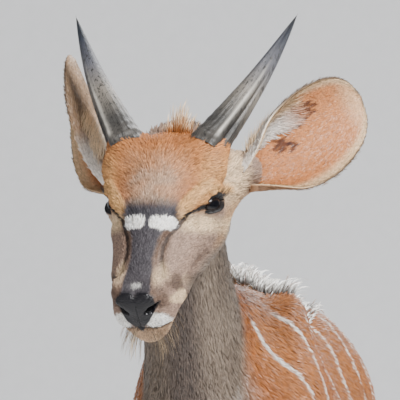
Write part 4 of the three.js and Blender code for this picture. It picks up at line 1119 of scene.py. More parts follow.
def new_group(name, inputs, outputs):
    tree = bpy.data.node_groups.new(name, "ShaderNodeTree")
    for socket, kind, default in inputs:
        entry = tree.interface.new_socket(socket, in_out="INPUT", socket_type=kind)
        if default is not None:
            entry.default_value = default
    for socket, kind in outputs:
        tree.interface.new_socket(socket, in_out="OUTPUT", socket_type=kind)
    return tree, tree.nodes.new("NodeGroupInput"), tree.nodes.new("NodeGroupOutput")


def grain_group():
    """Fine grain drawn out along one way: hair on the skin, fibres in horn and hoof."""
    name = "Drawn-out grain"
    if name in bpy.data.node_groups:
        return bpy.data.node_groups[name]
    tree, start, end = new_group(
        name,
        [
            ("Vector", "NodeSocketVector", None),
            ("Scale", "NodeSocketFloat", 600.0),
            ("Depth", "NodeSocketFloat", 0.5),
        ],
        [("Height", "NodeSocketFloat"), ("Tone", "NodeSocketFloat")],
    )
    fine = add(
        tree, "ShaderNodeTexNoise", {"Vector": start.outputs[0], "Scale": start.outputs[1], "Detail": 4.0}
    )
    broad_scale = add(tree, "ShaderNodeMath", {0: start.outputs[1], 1: 0.22}, operation="MULTIPLY")
    broad = add(
        tree,
        "ShaderNodeTexNoise",
        {"Vector": start.outputs[0], "Scale": broad_scale.outputs[0], "Detail": 3.0},
    )
    height = add(tree, "ShaderNodeMath", {0: fine.outputs[0], 1: broad.outputs[0]}, operation="ADD")
    both = add(tree, "ShaderNodeMath", {0: height.outputs[0], 1: start.outputs[2]}, operation="MULTIPLY")
    tone = add(tree, "ShaderNodeMapRange", {"Value": height.outputs[0], 1: 0.6, 2: 1.4, 3: 0.72, 4: 1.22})
    tree.links.new(both.outputs[0], end.inputs[0])
    tree.links.new(tone.outputs[0], end.inputs[1])
    return tree


def fleck_group():
    """Small irregular flecks, as a mask."""
    name = "Flecks"
    if name in bpy.data.node_groups:
        return bpy.data.node_groups[name]
    tree, start, end = new_group(
        name,
        [
            ("Vector", "NodeSocketVector", None),
            ("Scale", "NodeSocketFloat", 400.0),
            ("Amount", "NodeSocketFloat", 0.5),
        ],
        [("Mask", "NodeSocketFloat")],
    )
    noise = add(
        tree, "ShaderNodeTexNoise", {"Vector": start.outputs[0], "Scale": start.outputs[1], "Detail": 5.0}
    )
    above = add(tree, "ShaderNodeMath", {0: noise.outputs[0], 1: start.outputs[2]}, operation="SUBTRACT")
    mask = add(tree, "ShaderNodeMath", {0: above.outputs[0], 1: 9.0}, operation="MULTIPLY", use_clamp=True)
    tree.links.new(mask.outputs[0], end.inputs[0])
    return tree


def group_node(tree, group, **inputs):
    node = tree.nodes.new("ShaderNodeGroup")
    node.node_tree = group
    for name, value in inputs.items():
        if isinstance(value, bpy.types.NodeSocket):
            tree.links.new(value, node.inputs[name])
        else:
            node.inputs[name].default_value = value
    return node


def material_tree(name):
    material = bpy.data.materials.get(name) or bpy.data.materials.new(name)
    material.use_nodes = True
    tree = material.node_tree
    shader = next(node for node in tree.nodes if node.type == "BSDF_PRINCIPLED")
    return material, tree, shader


def attribute(tree, name):
    return add(tree, "ShaderNodeAttribute", attribute_name=name)


def times(tree, colour_socket, tone_socket):
    """A colour made darker or lighter by a number that varies over the surface."""
    node = add(tree, "ShaderNodeVectorMath", {0: colour_socket}, operation="SCALE")
    tree.links.new(tone_socket, node.inputs["Scale"])
    return node.outputs[0]


def own_place(tree, stretch):
    coordinates = add(tree, "ShaderNodeTexCoord")
    mapping = add(tree, "ShaderNodeMapping", {"Vector": coordinates.outputs["Object"], "Scale": stretch})
    return mapping.outputs[0]


# Materials already made
finished = []


def skin_material():
    material, tree, shader = material_tree("short_coat_skin")
    if material in finished:
        return material
    tone = attribute(tree, "coat_colour")
    bare = attribute(tree, "bare")
    grain = group_node(tree, grain_group(), Vector=own_place(tree, (1, 0.6, 0.35)), Scale=900.0, Depth=1.0)
    tree.links.new(times(tree, tone.outputs["Color"], grain.outputs["Tone"]), shader.inputs["Base Color"])
    pores = add(tree, "ShaderNodeTexVoronoi", {"Vector": own_place(tree, (1, 1, 1)), "Scale": 620.0})
    height = add(
        tree,
        "ShaderNodeMix",
        {0: bare.outputs["Fac"], 2: grain.outputs["Height"], 3: pores.outputs["Distance"]},
    )
    bump = add(tree, "ShaderNodeBump", {"Strength": 0.55, "Distance": 0.0009, "Height": height.outputs[0]})
    tree.links.new(bump.outputs[0], shader.inputs["Normal"])
    rough = add(tree, "ShaderNodeMapRange", {"Value": bare.outputs["Fac"], 3: 0.8, 4: 0.27})
    tree.links.new(rough.outputs[0], shader.inputs["Roughness"])
    shader.inputs["Specular IOR Level"].default_value = 0.4
    finished.append(material)
    return material


def hair_material(name, roughness, grain_scale):
    material, tree, shader = material_tree(name)
    if material in finished:
        return material
    tone = attribute(tree, "coat_colour")
    along = attribute(tree, "along")
    grain = group_node(tree, grain_group(), Vector=own_place(tree, (1, 1, 1)), Scale=grain_scale, Depth=1.0)
    lighter = add(tree, "ShaderNodeMapRange", {"Value": along.outputs["Fac"], 3: 0.72, 4: 1.18})
    shaded = times(tree, tone.outputs["Color"], lighter.outputs[0])
    tree.links.new(times(tree, shaded, grain.outputs["Tone"]), shader.inputs["Base Color"])
    rough = add(
        tree,
        "ShaderNodeMapRange",
        {"Value": grain.outputs["Tone"], 3: roughness + 0.1, 4: roughness - 0.08},
    )
    tree.links.new(rough.outputs[0], shader.inputs["Roughness"])
    shader.inputs["Specular IOR Level"].default_value = 0.45
    finished.append(material)
    return material


def horn_material():
    material, tree, shader = material_tree("ridged_horn")
    if material in finished:
        return material
    along = attribute(tree, "along")
    around = attribute(tree, "around")
    place_on = add(tree, "ShaderNodeCombineXYZ", {"X": around.outputs["Fac"], "Y": along.outputs["Fac"]})
    fibres = add(tree, "ShaderNodeMapping", {"Vector": place_on.outputs[0], "Scale": (1.0, 0.16, 1.0)})
    grain = group_node(tree, grain_group(), Vector=fibres.outputs[0], Scale=34.0, Depth=1.0)
    flecks = group_node(tree, fleck_group(), Vector=own_place(tree, (1, 1, 0.3)), Scale=430.0, Amount=0.54)
    ramp = add(tree, "ShaderNodeValToRGB", {"Fac": along.outputs["Fac"]})
    stops = [
        (0.0, "#4a4641"),
        (0.14, "#3b3936"),
        (0.38, "#7d766c"),
        (0.6, "#58585e"),
        (0.82, "#292d37"),
        (1.0, "#141417"),
    ]
    while len(ramp.color_ramp.elements) < len(stops):
        ramp.color_ramp.elements.new(0.5)
    for element, (position, code) in zip(ramp.color_ramp.elements, stops):
        element.position = position
        element.color = (*colour(code), 1)
    dark = add(tree, "ShaderNodeMix", {0: flecks.outputs[0], 6: ramp.outputs[0]}, data_type="RGBA")
    dark.inputs[7].default_value = (*colour("#24221f"), 1)
    # A pale streak along the keel: a painted highlight
    worn = attribute(tree, "worn")
    ridge = add(tree, "ShaderNodeMix", {0: worn.outputs["Fac"], 6: dark.outputs[2]}, data_type="RGBA")
    ridge.inputs[7].default_value = (*colour("#c4beb2"), 1)
    shadow = add(
        tree, "ShaderNodeMapRange", {"Value": attribute(tree, "deep").outputs["Fac"], 3: 1.0, 4: 0.3}
    )
    streaked = times(tree, times(tree, ridge.outputs[2], grain.outputs["Tone"]), shadow.outputs[0])
    tree.links.new(times(tree, streaked, grain.outputs["Tone"]), shader.inputs["Base Color"])
    bump = add(
        tree, "ShaderNodeBump", {"Strength": 0.7, "Distance": 0.0012, "Height": grain.outputs["Height"]}
    )
    tree.links.new(bump.outputs[0], shader.inputs["Normal"])
    rough = add(tree, "ShaderNodeMapRange", {"Value": grain.outputs["Tone"], 3: 0.6, 4: 0.38})
    tree.links.new(rough.outputs[0], shader.inputs["Roughness"])
    finished.append(material)
    return material


def hoof_material():
    material, tree, shader = material_tree("dark_hoof")
    if material in finished:
        return material
    grain = group_node(tree, grain_group(), Vector=own_place(tree, (1, 1, 0.15)), Scale=420.0, Depth=1.0)
    rings = add(
        tree,
        "ShaderNodeTexWave",
        {"Vector": own_place(tree, (0.1, 0.35, 1)), "Scale": 95.0, "Distortion": 1.5},
    )
    rings.bands_direction = "Z"
    shade = add(tree, "ShaderNodeMix", {0: grain.outputs["Tone"]}, data_type="RGBA")
    shade.inputs[6].default_value = (*colour("#120f0e"), 1)
    shade.inputs[7].default_value = (*colour("#38302a"), 1)
    tree.links.new(shade.outputs[2], shader.inputs["Base Color"])
    height = add(tree, "ShaderNodeMath", {0: grain.outputs["Height"], 1: rings.outputs[1]}, operation="ADD")
    bump = add(tree, "ShaderNodeBump", {"Strength": 0.5, "Distance": 0.0006, "Height": height.outputs[0]})
    tree.links.new(bump.outputs[0], shader.inputs["Normal"])
    rough = add(tree, "ShaderNodeMapRange", {"Value": grain.outputs["Tone"], 3: 0.5, 4: 0.32})
    tree.links.new(rough.outputs[0], shader.inputs["Roughness"])
    finished.append(material)
    return material


def eye_material():
    material, tree, shader = material_tree("moist_eye")
    if material in finished:
        return material
    tone = attribute(tree, "coat_colour")
    streaks = group_node(tree, grain_group(), Vector=own_place(tree, (1, 1, 1)), Scale=500.0, Depth=1.0)
    tree.links.new(times(tree, tone.outputs["Color"], streaks.outputs["Tone"]), shader.inputs["Base Color"])
    shader.inputs["Roughness"].default_value = 0.2
    shader.inputs["Specular IOR Level"].default_value = 0.15
    shader.inputs["Coat Weight"].default_value = 0.35
    shader.inputs["Coat Roughness"].default_value = 0.02
    finished.append(material)
    return material


# The skin: one closed form for the trunk, neck, head, legs and tail, with the ears grown from it
FLESH_NODES = ["torso", "neck", "head", "tail", "left_ear", "right_ear"]
for leg_name in LEGS:
    FLESH_NODES += [f"{leg_name}_upper_leg", f"{leg_name}_lower_leg"]
SKIN_LOW, SKIN_HIGH = (-160, -740, 24), (160, 470, 1070)
# What the skin's operator leaves for the coat's: points, normals and triangles
made = {}


def split_finer(mesh, chosen):
    """The mesh with the chosen faces cut in four."""
    work = bmesh.new()
    work.from_mesh(mesh)
    work.faces.ensure_lookup_table()
    edges = {edge for face, wanted in zip(work.faces, chosen) if wanted for edge in face.edges}
    bmesh.ops.subdivide_edges(work, edges=list(edges), cuts=1, use_grid_fill=True)
    ragged = [face for face in work.faces if len(face.verts) > 4]
    bmesh.ops.triangulate(work, faces=ragged)
    work.to_mesh(mesh)
    work.free()


def face_centres(mesh):
    centres = np.empty(len(mesh.polygons) * 3, np.float32)
    mesh.polygons.foreach_get("center", centres)
    return centres.reshape(-1, 3).astype(float) * 1000 - SHIFT


def set_places(mesh, points):
    mesh.vertices.foreach_set("co", to_metres(points).ravel())
    mesh.update()


def near_face_detail(q):
    close = (q[:, 1] < -80) & (q[:, 1] > -190) & (np.abs(q[:, 0]) < 70)
    for side in SIDES:
        close |= np.linalg.norm(q - eye_frame(side)[0], axis=1) < 36
    return close


def flesh_skin(cell):
    points, faces = surface_net(flesh, SKIN_LOW, SKIN_HIGH, cell)
    points = settle(flesh, points)
    mesh = mesh_from("skin", points, faces)
    for level in range(3):
        centres = face_centres(mesh)
        if level < 2:
            chosen = (centres - HEAD_CUT) @ HEAD_AHEAD > 22 * level - 26
        else:
            chosen = near_face_detail(to_head(centres))
        split_finer(mesh, chosen)
        set_places(mesh, settle(flesh, co_of(mesh)))
    points, normals = co_of(mesh), normals_of(mesh)
    points = points - normals * coat_depth(points)[:, None]
    on_head = shares(points)[0] > 0
    points[on_head] = sculpt_face(points[on_head], normals[on_head])
    set_places(mesh, points)
    return mesh


class NYALA_OT_skin(bpy.types.Operator):
    """One skin over the whole animal, with lids, nostrils, mouth and ears."""

    bl_idname = "nyala.skin"
    bl_label = "Skin"

    def execute(self, context):
        settings = context.scene.nyala_coat
        mesh = flesh_skin(settings.skin_cell * 1000)
        mesh.calc_loop_triangles()
        triangles = np.empty(len(mesh.loop_triangles) * 3, np.int32)
        mesh.loop_triangles.foreach_get("vertices", triangles)
        points, normals = co_of(mesh), normals_of(mesh)
        made["skin"] = (points, normals, triangles.reshape(-1, 3))
        paint(
            mesh,
            coat_colour=coat_colour(points, normals),
            bare=bare_share(points),
            along=np.full(len(points), 0.3),
        )
        skin = place("skin", mesh, skin_material(), FLESH_NODES)
        for name in EARS:
            ear_points, faces, u, v, inner = ear_sheet(name)
            tone = ear_colour(name, u, v, inner)
            ear = mesh_from(
                name + "_skin", ear_points, faces, coat_colour=tone, bare=np.zeros(len(u)), along=u
            )
            joined = bpy.data.objects.new(name, ear)
            context.scene.collection.objects.link(joined)
            ear.materials.append(skin_material())
            with context.temp_override(active_object=skin, selected_editable_objects=[skin, joined]):
                bpy.ops.object.join()
        return {"FINISHED"}


def tuft_piece(
    name, rng, roots, normals, lies, lengths, widths, lift, tones, chart, material, spread=0.09
):
    """Short tufts that lie along the skin, as one piece."""
    spin = rng.normal(0, 0.16, len(roots))[:, None]
    aside = np.cross(normals, lies)
    lies = unit(lies + aside * spin)
    aside = unit(np.cross(normals, lies) + normals * rng.normal(0, 0.25, len(roots))[:, None])
    lengths = lengths * rng.uniform(0.7, 1.25, len(roots))
    lift = lift * rng.uniform(0.5, 1.5, len(roots))
    spines = bent_spines(roots, normals, lies, lengths, lift)
    steps = np.linspace(0, 1, spines.shape[1])
    width = widths[:, None] * (1 - 0.35 * steps[None])
    shade = rng.normal(1, spread, (len(roots), 1, 1)) * (0.86 + 0.26 * steps[None, :, None])
    tone = np.clip(tones[:, None] * shade, 0, 1)
    return place(name, blades(name, spines, aside, width, tone, chart), material)


class NYALA_OT_coat(bpy.types.Operator):
    """Short tufts over the whole skin, lying along it, smallest on the face and feet."""

    bl_idname = "nyala.coat"
    bl_label = "Short coat"

    def execute(self, context):
        settings = context.scene.nyala_coat
        rng = np.random.default_rng(settings.seed)
        points, normals, triangles = made["skin"]
        centres = points[triangles].mean(axis=1)
        head_share, neck_share, _, tail_share = shares(centres)
        q = to_head(centres)
        covered = np.clip(1.2 - 1.6 * bare_share(centres), 0, 1)
        finer = 1 + 1.6 * smooth(0, -70, q[:, 1])
        body = (1 - head_share) * (1 - neck_share) * (1 - tail_share)
        upper = smooth(480, 530, centres[:, 2])
        left = centres[:, 0] > 0
        parts = {
            "head_coat": (head_share * covered * finer, settings.head_tufts, "face_coat"),
            "neck_coat": (neck_share, settings.neck_tufts, "neck_coat"),
            "left_flank_coat": (body * upper * left, settings.flank_tufts, "rufous_coat"),
            "right_flank_coat": (body * upper * ~left, settings.flank_tufts, "rufous_coat"),
            "leg_coat": (body * (1 - upper), settings.leg_tufts, "leg_coat"),
        }
        for name, (weights, count, slot) in parts.items():
            chosen, corner_share = scatter(rng, points, triangles, weights, count)
            corners = triangles[chosen]
            roots = (points[corners] * corner_share[..., None]).sum(axis=1)
            out = unit((normals[corners] * corner_share[..., None]).sum(axis=1))
            lengths = coat_length(roots)
            lies = coat_lie(roots, out)
            # On the flanks a tuft takes the colour of the place its middle covers
            covered_place = roots + lies * (lengths * 0.45 * (slot == "rufous_coat"))[:, None]
            tones = coat_colour(covered_place, out)
            chart = coat_chart(name, roots)
            widths = 0.55 + 0.095 * lengths
            lift = np.full(len(roots), 0.2)
            if name == "head_coat":
                spread, material = 0.2, hair_material("face_coat", 0.72, 900.0)
            else:
                spread, material = 0.1, hair_material("short_coat", 0.5, 900.0)
            tuft_piece(
                name, rng, roots, out, lies, lengths, widths, lift, tones, chart, material, spread
            )
        return {"FINISHED"}


# The line that each part of the skin is unwrapped round: a place on it, its way and its two ends
TRUNK_CHART = (vec(0, 0, 700), vec(0, 1, 0), -440, 440)
COAT_CHARTS = {
    "head_coat": (from_head(vec(0, 0, -10)), BACKWARD, -170, 130),
    "neck_coat": (vec(-40, -430, 890), vec(0, -0.7, 0.7), -260, 240),
}


def coat_chart(name, roots):
    """Each tuft's place on an unwrap of the skin that it grows on."""
    if name == "leg_coat":
        return leg_chart(roots)
    return chart_round(roots, *COAT_CHARTS.get(name, TRUNK_CHART))


def leg_chart(roots):
    """Each leg unwrapped round its own upright line, in its own quarter of the map."""
    chart = np.zeros((len(roots), 2))
    for number, joints in enumerate(LEGS.values()):
        fetlock = joints["fetlock"]
        fore = "knee" in joints
        mine = (np.sign(roots[:, 0]) == np.sign(fetlock[0])) & ((roots[:, 1] < 0) == fore)
        own = chart_round(roots[mine], vec(fetlock[0], fetlock[1], 0), UP, 20, 560)
        chart[mine] = own * vec(0.24, 1) + vec(0.25 * number, 0)
    return chart


class NYALA_OT_ear_hair(bpy.types.Operator):
    """Hair on both faces of the ears, with the white tuft inside the front edge and a pale rim."""

    bl_idname = "nyala.ear_hair"
    bl_label = "Ear hair"

    def execute(self, context):
        settings = context.scene.nyala_coat
        rng = np.random.default_rng(settings.seed + 1)
        material = hair_material("short_coat", 0.5, 900.0)
        long_material = hair_material("long_hair", 0.42, 500.0)
        for name, (side, _, _) in EARS.items():
            count = settings.ear_tufts
            u = rng.uniform(0.02, 0.99, count) ** 0.9
            v = rng.uniform(-1, 1, count)
            inner = rng.random(count) < 0.45
            self.grow(rng, name, name + "_coat", u, v, inner, (6.5, 4.5), 0.14, 0, material)
            rim = 2600
            u = rng.uniform(0.1, 1, rim)
            v = rng.choice([-1, 1], rim) * rng.uniform(0.9, 1, rim)
            self.grow(rng, name, name + "_rim_hair", u, v, rng.random(rim) < 0.6, (5, 4), 0.3, 0.3, material)
            tuft = int(7000 * EAR_TUFT_REACH[name])
            u = rng.uniform(0.04, EAR_TUFT_REACH[name], tuft)
            v = -side * rng.uniform(0.5, 1.0, tuft)
            inner = np.full(tuft, True)
            self.grow(rng, name, name + "_inner_tuft", u, v, inner, (30, 30), 0.16, -0.8, long_material)
        return {"FINISHED"}

    def grow(self, rng, ear, name, u, v, inner, lengths, lift, turn, material):
        """turn bends the lie toward the ear's edge above zero, or toward its middle below."""
        roots, normals, to_tip, to_edge = ear_place(ear, u, v, inner)
        lies = unit(to_tip + to_edge * (turn * np.sign(v))[:, None])
        long = np.where(inner, lengths[1], lengths[0]) * (0.75 + 0.25 * smooth(1, 0.6, u))
        tones = ear_colour(ear, u, v, inner.astype(float))
        chart = np.column_stack([0.25 + 0.24 * v + 0.5 * inner, 0.02 + 0.96 * u])
        widths = np.full(len(u), 0.9)
        lift = np.full(len(u), lift)
        tuft_piece(name, rng, roots, normals, lies, long, widths, lift, tones, chart, material)


def all_over(tone, count):
    """One colour for every strand."""
    return np.tile(tone, (count, 1, 1))


# Where each piece's steady random draw starts
CREST_SEED, MANE_SEED, TAIL_SEED, WHISKER_SEED = 41, 43, 47, 53


def skin_near(roots, outward):
    """Places on the flesh met when leaving each root outward."""
    inside, outside = np.zeros(len(roots)), np.full(len(roots), 260.0)
    for _ in range(18):
        middle = (inside + outside) / 2
        within = flesh(roots + outward * middle[:, None]) < 0
        inside = np.where(within, middle, inside)
        outside = np.where(within, outside, middle)
    return roots + outward * inside[:, None]


def long_piece(
    name, rng, roots, outward, lies, lengths, stand, width, tones, chart, bend=1.6, stations=6
):
    """Long hair that leaves the skin and bends over, as one piece of many strands."""
    count = len(roots)
    t = np.linspace(0, 1, stations)[None, :, None]
    rise = stand[:, None, None] * np.sin(t * math.pi / 2) ** 0.9
    sway = rng.normal(0, 0.11, (count, 1, 1)) * t**2
    aside = unit(np.cross(outward, lies))
    spines = roots[:, None] - outward[:, None] * 2.5
    spines = spines + lengths[:, None, None] * (
        (
            lies[:, None] * (1 - 0.45 * stand[:, None, None]) * t**bend
            + outward[:, None] * rise
            + aside[:, None] * sway
        )
    )
    steps = np.linspace(0, 1, stations)
    widths = np.full((count, 1), width) * rng.uniform(0.7, 1.3, (count, 1)) * (1 - 0.55 * steps[None] ** 2)
    tilt = rng.normal(0, 0.7, count)[:, None]
    across = unit(aside + outward * tilt)
    return place(
        name,
        blades(name, spines, across, widths, tones(t), chart),
        hair_material("long_hair", 0.42, 500.0),
    )


class NYALA_OT_crest(bpy.types.Operator):
    """The white crest along the back, dark at its roots."""

    bl_idname = "nyala.crest"
    bl_label = "Crest of the back"

    def execute(self, context):
        settings = context.scene.nyala_hair
        rng = np.random.default_rng(CREST_SEED)
        count = settings.crest_strands
        y = rng.uniform(-282, 376, count)
        clump = np.round(y / 11) * 11 + rng.normal(0, 1.5, count)
        y = mix(y, clump, 0.5)
        lean = np.clip(rng.normal(0, 0.5, count), -1.1, 1.1)
        outward = unit(np.column_stack([lean * 0.3, 0 * y, np.ones(count)]))
        roots = skin_near(np.column_stack([lean * 11, y, np.full(count, 740.0)]), outward)
        lie = np.column_stack([lean * 0.14, np.ones(count), np.where(y > 230, -0.42, -0.05)])
        rise = mix(1.0, 0.62, smooth(-250, -60, y))
        lengths = settings.crest_length * 1000 * rise * rng.uniform(0.62, 1.08, count)
        stand = rng.uniform(0.2, 0.42, count)
        shade = rng.normal(1, 0.08, (count, 1, 1))
        whiteness = np.where(rng.random(count) < 0.86, 1.0, 0.35)[:, None, None]

        def tones(t):
            tip = mix(all_over(WHITE, count), all_over(RUFOUS_DEEP, count), 1 - whiteness)
            return np.clip(mix(all_over(DARK_BROWN, count), tip, smooth(0.08, 0.4, t)) * shade, 0, 1)

        chart = np.column_stack([0.5 + 0.4 * lean, 0.02 + 0.96 * (y + 290) / 680])
        long_piece(
            "back_crest", rng, roots, outward, unit(lie), lengths, stand, 1.5, tones, chart
        )
        return {"FINISHED"}


class NYALA_OT_mane(bpy.types.Operator):
    """The mane along the nape, and the tuft between the horns."""

    bl_idname = "nyala.mane"
    bl_label = "Mane"

    def execute(self, context):
        settings = context.scene.nyala_hair
        rng = np.random.default_rng(MANE_SEED)
        count = settings.mane_strands
        t = rng.uniform(0, 1, count)
        index = np.clip(np.round(4 + t * 34).astype(int), 1, len(NECK_LINE) - 2)
        along = NECK_ALONG[index]
        side = unit(np.cross(UP, along))
        lean = np.clip(rng.normal(0, 0.5, count), -1.2, 1.2)
        outward = unit(np.cross(along, side) + side * (lean * 0.28)[:, None])
        roots = skin_near(NECK_LINE[index, 1:4] + along * rng.normal(0, 5, (count, 1)), outward)
        lies = unit(-along + side * (lean * 0.14)[:, None])
        lengths = settings.mane_length * 1000 * rng.uniform(0.55, 1.1, count)
        stand = rng.uniform(0.18, 0.4, count)
        pale = smooth(-0.4, 1, wobble(roots, 70, 2))[:, None, None]
        shade = rng.normal(1, 0.12, (count, 1, 1))

        def tones(s):
            tip = mix(all_over(NECK_PALE, count), all_over(CREAM, count), pale)
            return np.clip(mix(all_over(NECK_DARK, count), tip, smooth(0.1, 0.7, s)) * shade, 0, 1)

        chart = np.column_stack([0.5 + 0.35 * lean, 0.02 + 0.96 * t])
        long_piece("nape_mane", rng, roots, outward, lies, lengths, stand, 1.2, tones, chart)
        self.poll_tuft(rng)
        return {"FINISHED"}

    def poll_tuft(self, rng):
        count = 190
        x, y = rng.normal(7, 9, count), rng.uniform(66, 92, count)
        outward = np.tile(DORSAL, (count, 1))
        roots = skin_near(from_head(np.column_stack([x, y, np.full(count, -20.0)])), outward)
        lies = unit(np.column_stack([x * 0.02, np.ones(count), np.full(count, 0.2)]) @ HEAD_AXES)
        lengths = rng.uniform(10, 34, count) * np.exp(-(((x - 7) / 14) ** 2))
        stand = rng.uniform(0.4, 0.85, count)
        shade = rng.normal(1, 0.15, (count, 1, 1))

        def tones(s):
            tip = all_over(CREAM, count)
            return np.clip(mix(all_over(FOREHEAD, count), tip, smooth(0.2, 0.9, s)) * shade, 0, 1)

        chart = np.column_stack([0.5 + x / 120, 0.02 + (y - 40) / 50])
        long_piece("poll_tuft", rng, roots, outward, lies, lengths, stand, 0.7, tones, chart)


class NYALA_OT_tail(bpy.types.Operator):
    """The bushy tail, brown above and white at its sides and below."""

    bl_idname = "nyala.tail"
    bl_label = "Tail hair"

    def execute(self, context):
        settings = context.scene.nyala_hair
        rng = np.random.default_rng(TAIL_SEED)
        count = settings.tail_strands
        t = rng.uniform(0, 1, count) ** 0.8
        line = np.column_stack([np.interp(t, (0, 0.25, 0.65, 1), TAIL[:, axis]) for axis in range(3)])
        turn = rng.uniform(0, 2 * math.pi, count)
        outward = np.column_stack([np.sin(turn), np.cos(turn), np.zeros(count)])
        outward[:, 1] = np.maximum(outward[:, 1], np.where(t < 0.3, -0.1, -0.4))
        outward = unit(outward)
        radius = np.interp(t, (0, 0.25, 0.65, 1), DOCK_RADII)
        roots = line + outward * (radius * 0.9)[:, None]
        lies = unit(np.column_stack([rng.normal(0, 0.05, count), np.full(count, 0.07), np.full(count, -1.0)]))
        lengths = settings.tail_length * 1000 * rng.uniform(0.55, 1.05, count)
        stand = rng.uniform(0.1, 0.3, count) * (1 - 0.5 * smooth(0.15, 0, t))
        back = smooth(0.2, 0.75, outward[:, 1])[:, None, None]
        shade = rng.normal(1, 0.1, (count, 1, 1))

        def tones(s):
            tip = mix(all_over(WHITE, count), all_over(RUFOUS_DEEP, count), back)
            return np.clip(mix(all_over(DARK_BROWN, count), tip, smooth(0.0, 0.35, s)) * shade, 0, 1)

        chart = np.column_stack([0.01 + 0.98 * turn / (2 * math.pi), 0.02 + 0.96 * t])
        long_piece(
            "tail_hair", rng, roots, outward, lies, lengths, stand, 1.6, tones, chart, 1.3
        )
        return {"FINISHED"}


class NYALA_OT_whiskers(bpy.types.Operator):
    """Whiskers on the lips and chin, and the lashes of both eyes."""

    bl_idname = "nyala.whiskers"
    bl_label = "Whiskers and lashes"

    def execute(self, context):
        rng = np.random.default_rng(WHISKER_SEED)
        count = 170
        side = rng.choice([-1, 1], count)
        y = rng.uniform(-148, -96, count)
        out = unit(
            np.column_stack(
                [side * rng.uniform(0.15, 1, count), rng.uniform(-0.9, 0.2, count), -np.ones(count)]
            ),
        )
        roots = skin_near(from_head(np.column_stack([side * 4.0, y, np.full(count, -34.0)])), out @ HEAD_AXES)
        outward = out @ HEAD_AXES
        lies = unit(np.tile(vec(0, -0.1, -1), (count, 1)) + outward * 0.2)
        shade = rng.uniform(0.2, 1, (count, 1, 1))

        def tones(s):
            return mix(all_over(CREAM, count), all_over(DARK_BROWN, count), shade + 0 * s)

        chart = np.column_stack([0.5 + 0.4 * side, 0.02 + (y + 150) / 60])
        lengths = rng.uniform(9, 24, count)
        stand = rng.uniform(0.6, 0.95, count)
        long_piece("whiskers", rng, roots, outward, lies, lengths, stand, 0.5, tones, chart, 2.0)
        for name, which in (("left_lashes", 1), ("right_lashes", -1)):
            self.lashes(rng, name, which)
        return {"FINISHED"}

    def lashes(self, rng, name, side):
        count = 48
        centre, look, rear, up = eye_frame(side)
        t = rng.uniform(0.05, 0.62, count)
        across = LID_CORNER * np.cos(math.pi * t)
        lift = LID_UPPER * np.sin(math.pi * t) ** 1.35 + 0.06
        aim = unit(look + rear * np.tan(across)[:, None] + up * np.tan(lift)[:, None])
        roots = from_head(centre + aim * (EYE_RADIUS + LID_THICKNESS * 0.6))
        outward = unit(aim * 0.9 + rear * 0.25 + up * 0.1) @ HEAD_AXES
        lies = np.tile(unit(up * 0.5 + rear * 0.6 - look * 0.1) @ HEAD_AXES, (count, 1))
        lengths = rng.uniform(8, 14, count)
        stand = rng.uniform(0.75, 0.95, count)

        def tones(s):
            return all_over(LID_BLACK, count) + 0 * s

        chart = np.column_stack([0.5 + 0.3 * np.cos(across), 0.1 + 0.8 * t])
        long_piece(name, rng, roots, outward, lies, lengths, stand, 0.5, tones, chart, 1.6)


def round_grid(low, high, rows, columns):
    """Steps from low to high, each with its steps of a full turn, as two flat lists."""
    turns = np.linspace(0, 2 * math.pi, columns, endpoint=False)
    steps, turn = np.meshgrid(np.linspace(low, high, rows), turns, indexing="ij")
    return steps.ravel(), turn.ravel()


def ring_faces(rows, columns):
    """Faces of a tube of rings, each closed on itself."""
    at = np.arange(rows * columns).reshape(rows, columns)
    after = np.roll(at, -1, axis=1)
    return np.stack([at[:-1], after[:-1], after[1:], at[1:]], axis=-1).reshape(-1, 4)


# The eyeball's grid stops short of its poles; the ball lies a little under the lids
POLE_GAP, EYE_UNDER, CORNEA_RISE = 0.004, 0.9, 1.0
# Half the pupil's width and height, as angles at the eye's centre
PUPIL_HALF = (0.42, 0.24)
PUPIL_BLACK, EYE_EDGE = vec(0.002, 0.002, 0.003), vec(0.004, 0.003, 0.003)


class NYALA_OT_eyes(bpy.types.Operator):
    """Both eyes: a dark ball with a bulging cornea, a brown iris and a wide pupil."""

    bl_idname = "nyala.eyes"
    bl_label = "Eyes"

    def execute(self, context):
        settings = context.scene.nyala_head
        rows, columns = 48, 64
        for name, side in (("left_eye", 1), ("right_eye", -1)):
            centre, look, rear, up = eye_frame(side)
            bend, turn = round_grid(POLE_GAP, math.pi - POLE_GAP, rows, columns)
            aim = look * np.cos(bend)[:, None]
            aim = aim + (rear * np.cos(turn)[:, None] + up * np.sin(turn)[:, None]) * np.sin(bend)[:, None]
            cornea = CORNEA_RISE * smooth(0.8, 0.35, bend)
            points = from_head(centre + aim * (EYE_RADIUS - EYE_UNDER + cornea)[:, None])
            pupil = np.hypot(np.cos(turn) * bend / PUPIL_HALF[0], np.sin(turn) * bend / PUPIL_HALF[1])
            brown = np.array(settings.iris_colour)
            tone = np.tile(brown, (len(bend), 1))
            tone = tone * (0.7 + 0.5 * np.sin(turn * 34) ** 2 * smooth(0.7, 0.4, bend))[:, None]
            tone = lay(tone, PUPIL_BLACK, smooth(1.1, 0.9, pupil))
            tone = lay(tone, EYE_EDGE, smooth(0.66, 0.78, bend))
            mesh = mesh_from(name, points, ring_faces(rows, columns), coat_colour=tone)
            place(name + "ball", mesh, eye_material(), [name])
        return {"FINISHED"}


HORN_ROOT = vec(41.5, 49, 37)
HORN_AIM = unit(vec(71, 137, 52))
HORN_RADIUS = 20.5
# Where each horn starts, as a share of its length below its root, how far it bows out, and how far
# its keel turns inward
HORN_SUNK, HORN_BOW, KEEL_TURN = -0.04, 5, 0.2
# The keel's, groove's and collar's sizes as shares of the horn's radius, and the groove's turn from the keel
KEEL_RISE, GROOVE_DEPTH, COLLAR_RISE, GROOVE_ASIDE = 0.2, 0.13, 0.05, 0.42


